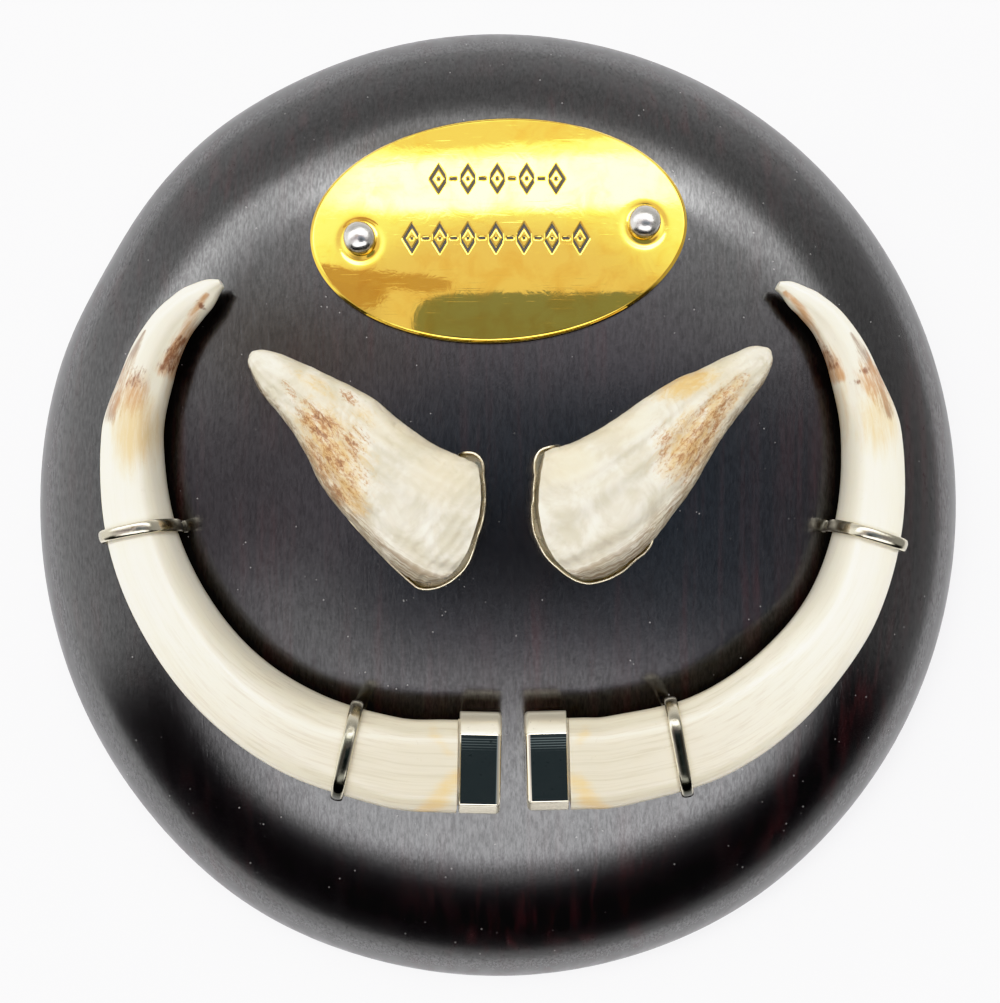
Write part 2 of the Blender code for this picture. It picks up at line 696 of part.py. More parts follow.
def grinder_rings(stations, bulge, power_of_bow):
    """Rings of a grinder from its edge stations, with broad ribs along its back.

    A ring is a half superellipse above the side level and a flatter one below it. The ribs are
    a cosine across the back that fades towards both sides and towards the tip. Towards the root
    the rings bow out along the tooth, by the bulge at the root itself, as its growth lines do.
    """
    flat = [(*upper, *lower, height, lift) for upper, lower, height, lift in stations]
    rows = catmull_rom(flat, GRINDER_ALONG, closed=False, ease=TIP_EASE)
    spine = (rows[:, 0:2] + rows[:, 2:4]) / 2
    heading = spine[-1] - spine[0]
    heading /= np.linalg.norm(heading)
    turn = np.linspace(0.0, 2 * math.pi, GRINDER_AROUND, endpoint=False)
    power = 2.0 / GRINDER_ROUNDNESS
    across = 0.5 + 0.5 * np.sign(np.cos(turn)) * np.abs(np.cos(turn)) ** power
    rise = np.sign(np.sin(turn)) * np.abs(np.sin(turn)) ** power
    level = np.where(rise > 0, GRINDER_SIDE_LEVEL + rise * (1 - GRINDER_SIDE_LEVEL),
                     GRINDER_SIDE_LEVEL * (1 + rise))
    rings = []
    for index, row in enumerate(rows):
        upper, lower, height, lift = row[0:2], row[2:4], row[4], row[5]
        share = index / (GRINDER_ALONG - 1)
        growth = min(1.0, share * GRINDER_RIB_GROWTH)
        ribs = np.cos(across * GRINDER_RIBS * 2 * math.pi) * GRINDER_RIB_HEIGHT * growth
        ribs *= np.clip(rise, 0.0, 1.0)
        bow = bulge * share ** 3 * (1 - np.abs(2 * across - 1) ** power_of_bow)
        x = upper[0] + (lower[0] - upper[0]) * across + heading[0] * bow
        y = upper[1] + (lower[1] - upper[1]) * across + heading[1] * bow
        z = lift + (level + ribs) * height
        rings.append(np.stack([x * MM, y * MM, FACE_Z + z * MM], axis=1))
    return rings


def grinder_outline(rings):
    """Closed line round a grinder seen from above, from its tip along its upper edge."""
    half = GRINDER_AROUND // 2
    upper = [ring[half, :2] for ring in rings]
    end = [rings[-1][step, :2] for step in range(half - 1, 0, -1)]
    lower = [ring[0, :2] for ring in reversed(rings)]
    return np.array(upper + end + lower)


def make_grinder(name, rings, parts, material):
    """Build one upper canine, with its root cut off square to the board."""
    mesh = loft(name, rings, square_end=True)
    smooth_mesh(mesh)
    return add_object(name, mesh, parts, material)


def keep_clear(place, outline, clearance):
    """Move a point out to a clearance from a closed line that it is near to or inside."""
    ends = np.roll(outline, -1, axis=0)
    runs = ends - outline
    lengths = np.maximum((runs ** 2).sum(axis=1), TINY ** 2)
    share = np.clip(((place - outline) * runs).sum(axis=1) / lengths, 0.0, 1.0)
    feet = outline + runs * share[:, None]
    gaps = np.linalg.norm(place - feet, axis=1)
    nearest = np.argmin(gaps)
    crossings = (outline[:, 1] > place[1]) != (ends[:, 1] > place[1])
    rise = np.where(crossings, runs[:, 1], 1.0)
    reach = outline[:, 0] + (place[1] - outline[:, 1]) / rise * runs[:, 0]
    inside = (crossings & (reach > place[0])).sum() % 2 == 1
    if not inside and gaps[nearest] >= clearance:
        return place
    away = (place - feet[nearest]) / max(gaps[nearest], TINY)
    return feet[nearest] + (-away if inside else away) * clearance


def make_cup(name, line, tooth_outline, parts, material):
    """Raise a thin wall along a closed line over a flat floor, as one skin with thickness.

    The wall is kept clear of the tooth that stands in it, but for the lip that passes under it.
    """
    rows = catmull_rom(line, CUP_AROUND, closed=True)
    outline, heights = rows[:, :2] * MM, np.maximum(rows[:, 2], CUP_LIP) * MM
    for index in range(CUP_AROUND):
        if heights[index] > CUP_STANDING * MM:
            outline[index] = keep_clear(outline[index], tooth_outline, CUP_WALL + CUP_CLEARANCE)
    base = FACE_Z + GAP
    points = [(x, y, base + height) for (x, y), height in zip(outline, heights)]
    points += [(x, y, base) for x, y in outline]
    middle = outline.mean(axis=0)
    points.append((middle[0], middle[1], base))
    faces = []
    for step in range(CUP_AROUND):
        after = (step + 1) % CUP_AROUND
        faces.append((step, after, CUP_AROUND + after, CUP_AROUND + step))
        faces.append((CUP_AROUND + step, CUP_AROUND + after, 2 * CUP_AROUND))
    mesh = bpy.data.meshes.new(name)
    mesh.from_pydata(points, [], faces)
    turn_faces_out(mesh)
    face_outward(mesh, Vector((middle[0], middle[1], base + CUP_MIDDLE_LEVEL)))
    smooth_mesh(mesh, CUP_SHARP)
    cup = add_object(name, mesh, parts, material)
    wall = cup.modifiers.new("wall", "SOLIDIFY")
    wall.thickness = CUP_WALL
    wall.offset = -1.0
    wall.use_even_offset = True
    return cup


def plate_level(share):
    """Height of the plate's upper face over the wood at a share of its radius."""
    return GAP + PLATE_THICKNESS + PLATE_CROWN * (1 - share ** 2)


def make_name_plate(parts, cutters, material):
    """Dome a thin oval of brass, bevel its edge and pierce it for the nails."""
    edge = 1 - PLATE_EDGE_BEVEL / PLATE_HALF_HEIGHT
    levels = [(share, plate_level(share)) for share in (0.35, 0.7, edge)]
    levels.append((1.0, plate_level(1.0) - PLATE_EDGE_BEVEL))
    levels.append((1.0, plate_level(1.0) - PLATE_THICKNESS))
    for share in (0.7, 0.35):
        levels.append((share, plate_level(share) - PLATE_THICKNESS))
    turn = np.linspace(0.0, 2 * math.pi, PLATE_SEGMENTS, endpoint=False)
    rings = []
    for share, level in levels:
        x = np.cos(turn) * PLATE_HALF_LENGTH * share
        y = np.sin(turn) * PLATE_HALF_HEIGHT * share
        rings.append(np.stack([x, y, np.full(PLATE_SEGMENTS, level)], axis=1))
    mesh = loft("name_plate", rings)
    mesh.transform(Matrix.Rotation(math.radians(PLATE_TURN), 4, "Z"))
    smooth_mesh(mesh, TURNED_SHARP)
    plate = add_object("name_plate", mesh, parts, material)
    plate.location = (PLATE_CENTRE[0], PLATE_CENTRE[1], FACE_Z)
    for name, place in NAIL_PLACES.items():
        cutter = add_cutter(name + " plate hole", place, NAIL_SHANK_RADIUS + GAP,
                            NAIL_SHANK_DEPTH, cutters)
        cut_with(plate, cutter)
    return plate


def make_nail(name, place, parts, material):
    """Turn a dome-headed nail whose rim sits just clear of the domed plate."""
    inner_side = math.hypot((abs(place[0] - PLATE_CENTRE[0]) - NAIL_HEAD_RADIUS) / PLATE_HALF_LENGTH,
                            (place[1] - PLATE_CENTRE[1]) / PLATE_HALF_HEIGHT)
    seat = FACE_Z + plate_level(inner_side) + GAP
    points = [(0.0, NAIL_HEAD_HEIGHT)]
    for step in range(1, NAIL_DOME_STEPS + 1):
        turn = math.pi / 2 * step / NAIL_DOME_STEPS
        height = NAIL_RIM_HEIGHT + (NAIL_HEAD_HEIGHT - NAIL_RIM_HEIGHT) * math.cos(turn)
        points.append((NAIL_HEAD_RADIUS * math.sin(turn), height))
    foot = FACE_Z - seat - NAIL_SHANK_DEPTH + NAIL_TIP_CLEARANCE
    points += [(NAIL_UNDERSIDE_RADIUS, 0.0), (NAIL_SHANK_RADIUS, 0.0),
               (NAIL_SHANK_RADIUS, foot + NAIL_SHANK_RADIUS), (0.0, foot)]
    profile = bpy.data.meshes.new(name)
    edges = [(index, index + 1) for index in range(len(points) - 1)]
    profile.from_pydata([(radius, 0.0, height) for radius, height in points], edges, [])
    nail = add_object(name, profile, parts, material)
    nail.location = (place[0], place[1], seat)
    screw = nail.modifiers.new("turn", "SCREW")
    screw.steps = NAIL_STEPS
    screw.render_steps = NAIL_STEPS
    screw.use_merge_vertices = True
    screw.merge_threshold = 0.00001
    screw.use_smooth_shade = True
    return nail


def main():
    """Build every piece of the mount."""
    clear_scene()
    parts = make_collection("mounted boar tusks")
    cutters = make_collection("cutters")
    wood = make_material("varnished wood", (0.016, 0.009, 0.008), 0.22, 0.0)
    ivory = make_material("tusk ivory", (0.86, 0.82, 0.70), 0.32, 0.0)
    enamel = make_material("grinder enamel", (0.84, 0.78, 0.64), 0.45, 0.0)
    silver = make_material("nickel silver", (0.78, 0.74, 0.64), 0.15, 1.0)
    brass = make_material("polished brass", (0.86, 0.60, 0.18), 0.14, 1.0)

    tusks = {"left": LEFT_TUSK_STATIONS, "right": RIGHT_TUSK_STATIONS}
    wires = {}
    holes = []
    for name, (side, place, plan_angle, lean) in LOOPS.items():
        turn = math.radians(plan_angle)
        heading = np.array([math.cos(turn), math.sin(turn)])
        path = loop_path(tusk_rings(tusks[side]), np.array(place) * MM, heading, lean)
        wires[name] = (path, heading)
        for end, place in (("first", path[0]), ("second", path[-1])):
            radius = WIRE_HALF_WIDTH + WIRE_CLEARANCE
            holes.append((f"{name} {end} hole", place[:2], radius, LEG_DEPTH + GAP))
    for name, place in NAIL_PLACES.items():
        holes.append((name + " hole", place, NAIL_SHANK_RADIUS + GAP, NAIL_SHANK_DEPTH))

    make_plaque(parts, cutters, wood, holes)
    for side, outward in (("left", 1.0), ("right", -1.0)):
        make_tusk(side + "_lower_tusk", tusks[side], CAPS[side], outward, parts, ivory)
        make_end_cap(side + "_end_cap", *CAPS[side], outward, parts, silver)
    for name, (path, heading) in wires.items():
        make_wire_loop(name, path, heading, parts, silver)
    grinders = {
        "left": (LEFT_GRINDER_STATIONS, LEFT_GRINDER_BOW, LEFT_CUP_LINE),
        "right": (RIGHT_GRINDER_STATIONS, RIGHT_GRINDER_BOW, RIGHT_CUP_LINE),
    }
    for side, (stations, bow, cup_line) in grinders.items():
        rings = grinder_rings(stations, *bow)
        make_grinder(side + "_grinder", rings, parts, enamel)
        make_cup(side + "_grinder_cup", cup_line, grinder_outline(rings), parts, silver)
    make_name_plate(parts, cutters, brass)
    for name, place in NAIL_PLACES.items():
        make_nail(name, place, parts, silver)


main()
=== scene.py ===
import logging
import math
from dataclasses import dataclass
from enum import Enum
from itertools import product
from typing import Optional, Union

import bmesh
import bpy
import numpy as np
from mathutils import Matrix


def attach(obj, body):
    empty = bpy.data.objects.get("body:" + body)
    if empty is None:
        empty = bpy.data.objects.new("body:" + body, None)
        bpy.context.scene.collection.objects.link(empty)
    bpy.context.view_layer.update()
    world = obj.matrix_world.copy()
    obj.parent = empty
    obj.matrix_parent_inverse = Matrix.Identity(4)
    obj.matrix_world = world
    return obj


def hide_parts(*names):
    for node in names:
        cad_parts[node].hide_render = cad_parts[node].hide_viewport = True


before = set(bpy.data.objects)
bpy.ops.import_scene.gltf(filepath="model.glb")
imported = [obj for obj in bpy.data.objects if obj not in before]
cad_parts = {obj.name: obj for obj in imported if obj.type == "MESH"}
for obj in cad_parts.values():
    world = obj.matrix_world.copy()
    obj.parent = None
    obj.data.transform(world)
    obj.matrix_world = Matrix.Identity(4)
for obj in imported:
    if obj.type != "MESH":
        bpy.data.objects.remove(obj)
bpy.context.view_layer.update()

Mesh = bpy.types.Mesh
Material = bpy.types.Material
Node = bpy.types.Node
Tree = bpy.types.NodeTree
Socket = bpy.types.NodeSocket
Feed = Union[float, tuple, Socket]
Array = np.ndarray

MM = 0.001
GAP = 0.3 * MM
FACE_Z = 25.0 * MM
DEGREES = 180.0 / math.pi
REPORT = logging.getLogger("boar tusks")


class Side(Enum):
    """The two halves of the mount, and the turn of a tusk's outer side on its way into its cap."""

    LEFT = ("left", 1.0)
    RIGHT = ("right", -1.0)

    @property
    def word(self) -> str:
        """The side's name in the pieces' names."""
        return self.value[0]

    @property
    def outward(self) -> float:
        """1 where the outer side is to the right of the way into the cap, else -1."""
        return self.value[1]


class Slot(Enum):
    """The record's material slots."""

    WOOD = "stained_wood"
    IVORY = "tusk_ivory"
    ENAMEL = "grinder_enamel"
    SILVER = "nickel_silver"
    WIRE = "nickel_wire"
    CUP = "cup_metal"
    BRASS = "polished_brass"
    NAIL = "nail_steel"


# Curves and surfaces


def smooth_step(value: Array, low: float, high: float) -> Array:
    """Ease from 0 at low to 1 at high: 3t squared less 2t cubed, t clipped to 0..1."""
    share = np.clip((value - low) / (high - low), 0.0, 1.0)
    return share * share * (3.0 - 2.0 * share)


def unit(vectors: Array, least: float = 0.0) -> Array:
    """Divide the vectors on the last axis by their length, or by least where that is more."""
    return vectors / np.maximum(np.linalg.norm(vectors, axis=-1, keepdims=True), least)


def signed_power(value: Array, power: float) -> Array:
    """A power of each number's size, with the number's sign."""
    return np.sign(value) * np.abs(value) ** power


def heading(degrees: float) -> Array:
    """The direction in plan at an angle from +X."""
    return np.array([math.cos(math.radians(degrees)), math.sin(math.radians(degrees))])


def circle(count: int) -> Array:
    """Even angles round a circle, in radians, without the last one that closes it."""
    return np.linspace(0.0, 2 * math.pi, count, endpoint=False)


def chord_lengths(points: Array) -> Array:
    """The length along a line of straight runs, at each of its points."""
    return np.concatenate([[0.0], np.cumsum(np.linalg.norm(np.diff(points, axis=0), axis=1))])


def on_plan(centre: tuple, degrees: float, along: Array, aside: Array) -> tuple[Array, Array]:
    """Turn local places by an angle and move them to a centre.

    Args:
        centre: X and Y of the local frame.
        degrees: Its turn.
        along: Places on its own X axis.
        aside: Places on its own Y axis.

    Returns:
        The places' X and their Y.
    """
    cos, sin = math.cos(math.radians(degrees)), math.sin(math.radians(degrees))
    return centre[0] + along * cos - aside * sin, centre[1] + along * sin + aside * cos


def run_gap(spots: Array, start: tuple, end: tuple) -> tuple[Array, Array]:
    """Find the nearest place on a straight run.

    Args:
        spots: Points in plan.
        start: The run's start, X and Y.
        end: Its end.

    Returns:
        Each point's share of the way along the run, from 0 to 1, and its distance from the run.
    """
    run, away = np.array(end) - start, spots - start
    share = np.clip((away @ run) / (run @ run), 0.0, 1.0)
    return share, np.linalg.norm(away - share[..., None] * run, axis=-1)


def catmull_rom(points: Array, count: int, closed: bool = False, ease: float = 1.0) -> Array:
    """Smooth curve through points, sampled evenly in chord length.

    Between two points the curve is the Catmull-Rom cubic of the four points round them. All the
    columns are carried along, and the chords are those of the first two.

    Args:
        points: Rows of at least two numbers.
        count: How many samples to take.
        closed: Whether the last point joins the first.
        ease: Above 1 it crowds the samples towards the first point.

    Returns:
        The samples, one a row.
    """
    points = np.asarray(points, float)
    if closed:
        knots = np.vstack([points[-1], points, points[0], points[1]])
    else:
        knots = np.vstack([2 * points[0] - points[1], points, 2 * points[-1] - points[-2]])
    chords = np.linalg.norm(np.diff(knots[1:-1, :2], axis=0), axis=1)
    lengths = np.concatenate([[0.0], np.cumsum(chords)])
    wanted = np.linspace(0.0, 1.0, count + 1 if closed else count) ** ease * lengths[-1]
    wanted = wanted[:-1] if closed else wanted
    span = np.clip(np.searchsorted(lengths, wanted, side="right") - 1, 0, len(chords) - 1)
    share = ((wanted - lengths[span]) / chords[span])[:, None]
    before, first, last, after = knots[span], knots[span + 1], knots[span + 2], knots[span + 3]
    line = 2 * first + (last - before) * share
    square = (2 * before - 5 * first + 4 * last - after) * share ** 2
    cube = (3 * first - before - 3 * last + after) * share ** 3
    return 0.5 * (line + square + cube)


def even_samples(points: Array, count: int) -> Array:
    """Place points evenly by length along an open line of straight runs.

    Args:
        points: The line's points, one a row.
        count: How many samples to take.

    Returns:
        The samples, one a row.
    """
    lengths = chord_lengths(points)
    wanted = np.linspace(0.0, lengths[-1], count)
    return np.stack([np.interp(wanted, lengths, column) for column in points.T], axis=1)


class Relief:
    """Seeded smooth noise in space, for relief that is modelled and not shaded."""

    cells = 32
    octave_shift = 7.3

    def __init__(self, seed: int) -> None:
        """Fill the lattice from the seed."""
        self.lattice = np.random.default_rng(seed).uniform(-1.0, 1.0, (self.cells,) * 3)

    def value(self, places: Array) -> Array:
        """Blend the lattice values at each cell's eight corners by eased shares.

        Args:
            places: Points, in cells, with three numbers on the last axis.

        Returns:
            Numbers from -1 to 1, one a point.
        """
        corner = np.floor(places).astype(int)
        share = smooth_step(places - corner, 0.0, 1.0)
        total = np.zeros(places.shape[:-1])
        for offset in product((0, 1), repeat=3):
            near = np.array(offset)
            weight = np.prod(np.where(near, share, 1.0 - share), axis=-1)
            index = (corner + near) % self.cells
            total += weight * self.lattice[index[..., 0], index[..., 1], index[..., 2]]
        return total

    def layers(self, places: Array, scale: Union[float, tuple], octaves: int,
               shift: float = 0.0) -> Array:
        """Sum octaves of the noise, each twice as fine and half as strong as the last.

        Args:
            places: Points in metres, with three numbers on the last axis.
            scale: Cells a metre, for all axes or for each.
            octaves: How many octaves to sum.
            shift: How far to move the lattice, in cells.

        Returns:
            The sum at each point.
        """
        spots = places * np.array(scale) + shift
        return sum(self.value(spots * 2.0 ** octave + self.octave_shift * octave) * 0.5 ** octave
                   for octave in range(octaves))

    def push(self, rings: Array, height: Array) -> Array:
        """Move the points of rings straight away from the middle of their ring.

        Args:
            rings: The rings, as (rings, points round, 3).
            height: How far each point moves.

        Returns:
            The moved rings.
        """
        return rings + unit(rings - rings.mean(axis=1, keepdims=True), 1e-9) * height[..., None]


def closed_mesh(name: str, points: Array, faces: list, marks: dict[str, Array], sharp: float) -> Mesh:
    """Make a smooth closed mesh whose faces point out.

    Args:
        name: The mesh's name.
        points: Its points, one a row.
        faces: Its faces, as lists of the points' numbers.
        marks: Further values at the points, numbers or vectors, that the material reads.
        sharp: Edges sharper than this many degrees stay sharp.

    Returns:
        The mesh, with its marks as point attributes.
    """
    mesh = bpy.data.meshes.new(name)
    mesh.from_pydata(points.tolist(), [], faces)
    work = bmesh.new()
    work.from_mesh(mesh)
    bmesh.ops.recalc_face_normals(work, faces=work.faces)
    work.to_mesh(mesh)
    work.free()
    for mark, values in marks.items():
        kind, key = ("FLOAT_VECTOR", "vector") if values.ndim == 2 else ("FLOAT", "value")
        layer = mesh.attributes.new(mark, kind, "POINT")
        layer.data.foreach_set(key, values.astype(np.float32).ravel())
    mesh.shade_smooth()
    mesh.set_sharp_from_angle(angle=math.radians(sharp))
    return mesh


def add_piece(node: str, mesh: Mesh, material: Material, slot: Slot) -> None:
    """Put a finished mesh in the place of a CAD node.

    Args:
        node: The CAD node that the piece stands for.
        mesh: The piece's mesh, in the shared frame.
        material: Its material.
        slot: The record's slot that the finish comes from; not used.
    """
    mesh.materials.append(material)
    piece = bpy.data.objects.new(node + "_dressed", mesh)
    bpy.context.scene.collection.objects.link(piece)
    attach(piece, "root")
    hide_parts(node)
    REPORT.info("%s: %d faces in %s", piece.name, len(mesh.polygons), material.name)


@dataclass
class Skin:
    """A closed surface: rings one after the other, each end closed with a fan.

    The rings are an array of (rings, points round, 3) in metres. The marks are further numbers
    that the material reads, with a value or a vector at each point.
    """

    rings: Array
    marks: dict[str, Array]

    @staticmethod
    def with_poles(values: Array) -> Array:
        """List the values at the rings' points, then the mean of the first ring and of the last.

        Args:
            values: Values or vectors at the points, as (rings, points round) or with 3 more.

        Returns:
            The values, one a row.
        """
        poles = np.stack([values[0].mean(axis=0), values[-1].mean(axis=0)])
        return np.concatenate([values.reshape((-1, *values.shape[2:])), poles])

    def dress(self, node: str, material: Material, slot: Slot, sharp: float = 40.0) -> None:
        """Join neighbours by quads, add a pole at each end's middle and place the piece.

        Args:
            node: The CAD node that the piece stands for.
            material: Its material.
            slot: The record's slot that the finish comes from.
            sharp: Edges sharper than this many degrees stay sharp.
        """
        layers, around = self.rings.shape[:2]
        index = np.arange(layers * around).reshape(layers, around)
        after = np.roll(index, -1, axis=1)
        quads = np.stack([index[:-1], after[:-1], after[1:], index[1:]], axis=-1).reshape(-1, 4)
        pole = np.full(around, layers * around)
        first = np.stack([pole, after[0], index[0]], axis=-1)
        last = np.stack([pole + 1, index[-1], after[-1]], axis=-1)
        marks = {mark: self.with_poles(values) for mark, values in self.marks.items()}
        faces = quads.tolist() + first.tolist() + last.tolist()
        mesh = closed_mesh(node, self.with_poles(self.rings), faces, marks, sharp)
        add_piece(node, mesh, material, slot)


# Materials


class Wiring:
    """Short calls for wiring one node tree."""

    def __init__(self, tree: Tree) -> None:
        """Keep the tree."""
        self.tree = tree

    def feed(self, socket: Socket, value: Feed) -> None:
        """Link a socket to another one, or set its value.

        Args:
            socket: The socket to feed.
            value: Another socket, a number, or a vector or colour.
        """
        if isinstance(value, Socket):
            self.tree.links.new(value, socket)
        elif socket.type == "RGBA":
            socket.default_value = (*value, 1.0)
        else:
            socket.default_value = value

    def fill(self, node: Node, feeds: dict) -> None:
        """Feed several of a node's inputs, by name or number."""
        for key, value in feeds.items():
            self.feed(node.inputs[key], value)

    def add(self, kind: str, feeds: Optional[dict] = None, **settings: object) -> Node:
        """Add a node.

        Args:
            kind: The node's type.
            feeds: What goes into its sockets, by name or number.
            **settings: Its properties.

        Returns:
            The node.
        """
        node = self.tree.nodes.new(kind)
        for key, value in settings.items():
            setattr(node, key, value)
        self.fill(node, feeds or {})
        return node

    def math(self, operation: str, first: Feed, second: Feed = 0.0, third: Feed = 0.0) -> Socket:
        """One step of arithmetic."""
        feeds = {0: first, 1: second, 2: third}
        return self.add("ShaderNodeMath", feeds, operation=operation).outputs[0]

    def times(self, first: Feed, *others: Feed) -> Socket:
        """Multiply some values, from left to right."""
        for other in others:
            first = self.math("MULTIPLY", first, other)
        return first

    def step(self, value: Feed, low: float, high: float, start: float = 0.0, end: float = 1.0,
             kind: str = "SMOOTHSTEP") -> Socket:
        """Go from start to end as a value goes from low to high, eased, or straight if LINEAR."""
        feeds = {"Value": value, "From Min": low, "From Max": high, "To Min": start, "To Max": end}
        return self.add("ShaderNodeMapRange", feeds, interpolation_type=kind).outputs[0]

    def mix_value(self, share: Feed, first: Feed, second: Feed) -> Socket:
        """Blend two numbers."""
        feeds = {0: share, 2: first, 3: second}
        return self.add("ShaderNodeMix", feeds, data_type="FLOAT").outputs[0]

    def mix(self, share: Feed, first: Feed, second: Feed) -> Socket:
        """Blend two colours."""
        feeds = {"Factor": share, 6: first, 7: second}
        return self.add("ShaderNodeMix", feeds, data_type="RGBA").outputs[2]

    def mark(self, name: str, output: str = "Fac") -> Socket:
        """A mesh's mark, as a number or, from the output Vector, as a vector."""
        return self.add("ShaderNodeAttribute", attribute_name=name).outputs[output]

    def place(self) -> Socket:
        """The place in the object's own frame, in metres."""
        return self.add("ShaderNodeTexCoord").outputs["Object"]

    def bump(self, height: Feed, distance: float, below: Optional[Socket] = None) -> Socket:
        """Lean the normal by a height.

        Args:
            height: The height.
            distance: How many metres a height of 1 stands for.
            below: The normal to lean, or none for the surface's own.

        Returns:
            The new normal.
        """
        feeds = {"Height": height, "Distance": distance, "Strength": 1.0}
        if below is not None:
            feeds["Normal"] = below
        return self.add("ShaderNodeBump", feeds).outputs[0]

    def effect(self, name: str, **feeds: Feed) -> Socket:
        """Use one of the shared effects, by its name in Effects."""
        tree = bpy.data.node_groups.get(name) or getattr(Effects, name)()
        return self.add("ShaderNodeGroup", feeds, node_tree=tree).outputs[0]


@dataclass(frozen=True)
class Grain:
    """A smooth noise from 0 to 1: cells a metre, octaves, their gain, distortion and stretch."""

    scale: float
    detail: float
    rough: float = 0.5
    distortion: float = 0.0
    stretch: Optional[tuple] = None

    def read(self, wires: Wiring, place: Socket) -> Socket:
        """The noise at a place, scaled by the stretch first.

        Args:
            wires: The wiring of the tree that uses it.
            place: The place.

        Returns:
            The noise.
        """
        if self.stretch:
            feeds = {"Vector": place, "Scale": self.stretch, "Rotation": (0.0, 0.0, 0.0)}
            place = wires.add("ShaderNodeMapping", feeds).outputs[0]
        feeds = {"Vector": place, "Scale": self.scale, "Detail": self.detail,
                 "Roughness": self.rough, "Distortion": self.distortion}
        return wires.add("ShaderNodeTexNoise", feeds).outputs[0]


class Effects:
    """Node groups for the effects that several materials share."""

    @staticmethod
    def start(name: str, given: dict[str, str], shown: str) -> tuple[Tree, Wiring, dict, Socket]:
        """Make a group with its sockets.

        Args:
            name: The group's name.
            given: Its inputs' names and kinds, Float, Color or Vector.
            shown: Its only output's kind.

        Returns:
            The group, its wiring, its inputs by name, and the socket that its result goes into.
        """
        tree = bpy.data.node_groups.new(name, "ShaderNodeTree")
        for label, kind in given.items():
            tree.interface.new_socket(label, in_out="INPUT", socket_type="NodeSocket" + kind)
        tree.interface.new_socket("Result", in_out="OUTPUT", socket_type="NodeSocket" + shown)
        wires = Wiring(tree)
        inputs = wires.add("NodeGroupInput").outputs
        result = wires.add("NodeGroupOutput").inputs[0]
        return tree, wires, {label: inputs[label] for label in given}, result

    @classmethod
    def stain(cls) -> Tree:
        """A tint laid where a mark, made ragged by noise, is strong.

        Returns:
            The group.
        """
        given = {"Colour": "Color", "Tint": "Color", "Mark": "Float", "Noise": "Float",
                 "Grain": "Float", "Depth": "Float"}
        tree, wires, inputs, result = cls.start("stain", given, "Color")
        away = wires.math("SUBTRACT", inputs["Noise"], 0.5)
        ragged = wires.math("MULTIPLY_ADD", away, inputs["Grain"], inputs["Mark"])
        share = wires.times(wires.step(ragged, 0.16, 1.12), inputs["Depth"],
                            wires.step(inputs["Mark"], 0.02, 0.25))
        wires.feed(result, wires.mix(share, inputs["Colour"], inputs["Tint"]))
        return tree

    @classmethod
    def hairlines(cls) -> Tree:
        """Fine straight scratches: noise drawn out along one direction and cut off high.

        Returns:
            The group.
        """
        given = {"Place": "Vector", "Turn": "Vector", "Scale": "Float", "Least": "Float"}
        tree, wires, inputs, result = cls.start("hairlines", given, "Float")
        mapping = {"Vector": inputs["Place"], "Rotation": inputs["Turn"], "Scale": (0.02, 1.0, 1.0)}
        place = wires.add("ShaderNodeMapping", mapping).outputs[0]
        noise = wires.add("ShaderNodeTexNoise", {"Vector": place, "Scale": inputs["Scale"]}).outputs[0]
        over = wires.math("SUBTRACT", noise, inputs["Least"])
        wires.feed(result, wires.step(over, 0.0, 0.10))
        return tree

    @classmethod
    def specks(cls) -> Tree:
        """Small round specks that gather in clouds.

        Returns:
            The group.
        """
        given = {"Place": "Vector", "Scale": "Float", "Size": "Float", "Least": "Float"}
        tree, wires, inputs, result = cls.start("specks", given, "Float")
        cells = {"Vector": inputs["Place"], "Scale": inputs["Scale"]}
        distance = wires.add("ShaderNodeTexVoronoi", cells, feature="F1").outputs["Distance"]
        dots = wires.step(wires.math("DIVIDE", distance, inputs["Size"]), 1.0, 0.5)
        cloud = Grain(210.0, 2.0).read(wires, inputs["Place"])
        few = wires.step(wires.math("SUBTRACT", cloud, inputs["Least"]), 0.0, 0.04)
        wires.feed(result, wires.times(dots, few))
        return tree


@dataclass(frozen=True)
class Finish:
    """A material with one Principled shader, whose subclasses wire it."""

    name: str

    def material(self) -> Material:
        """Make the material.

        Returns:
            The material.
        """
        material = bpy.data.materials.new(self.name)
        material.use_nodes = True
        wires = Wiring(material.node_tree)
        wires.fill(material.node_tree.nodes["Principled BSDF"], self.inputs(wires))
        return material

    def inputs(self, wires: Wiring) -> dict:
        """Wire the finish and say what goes into the shader's inputs, by name."""
        raise NotImplementedError


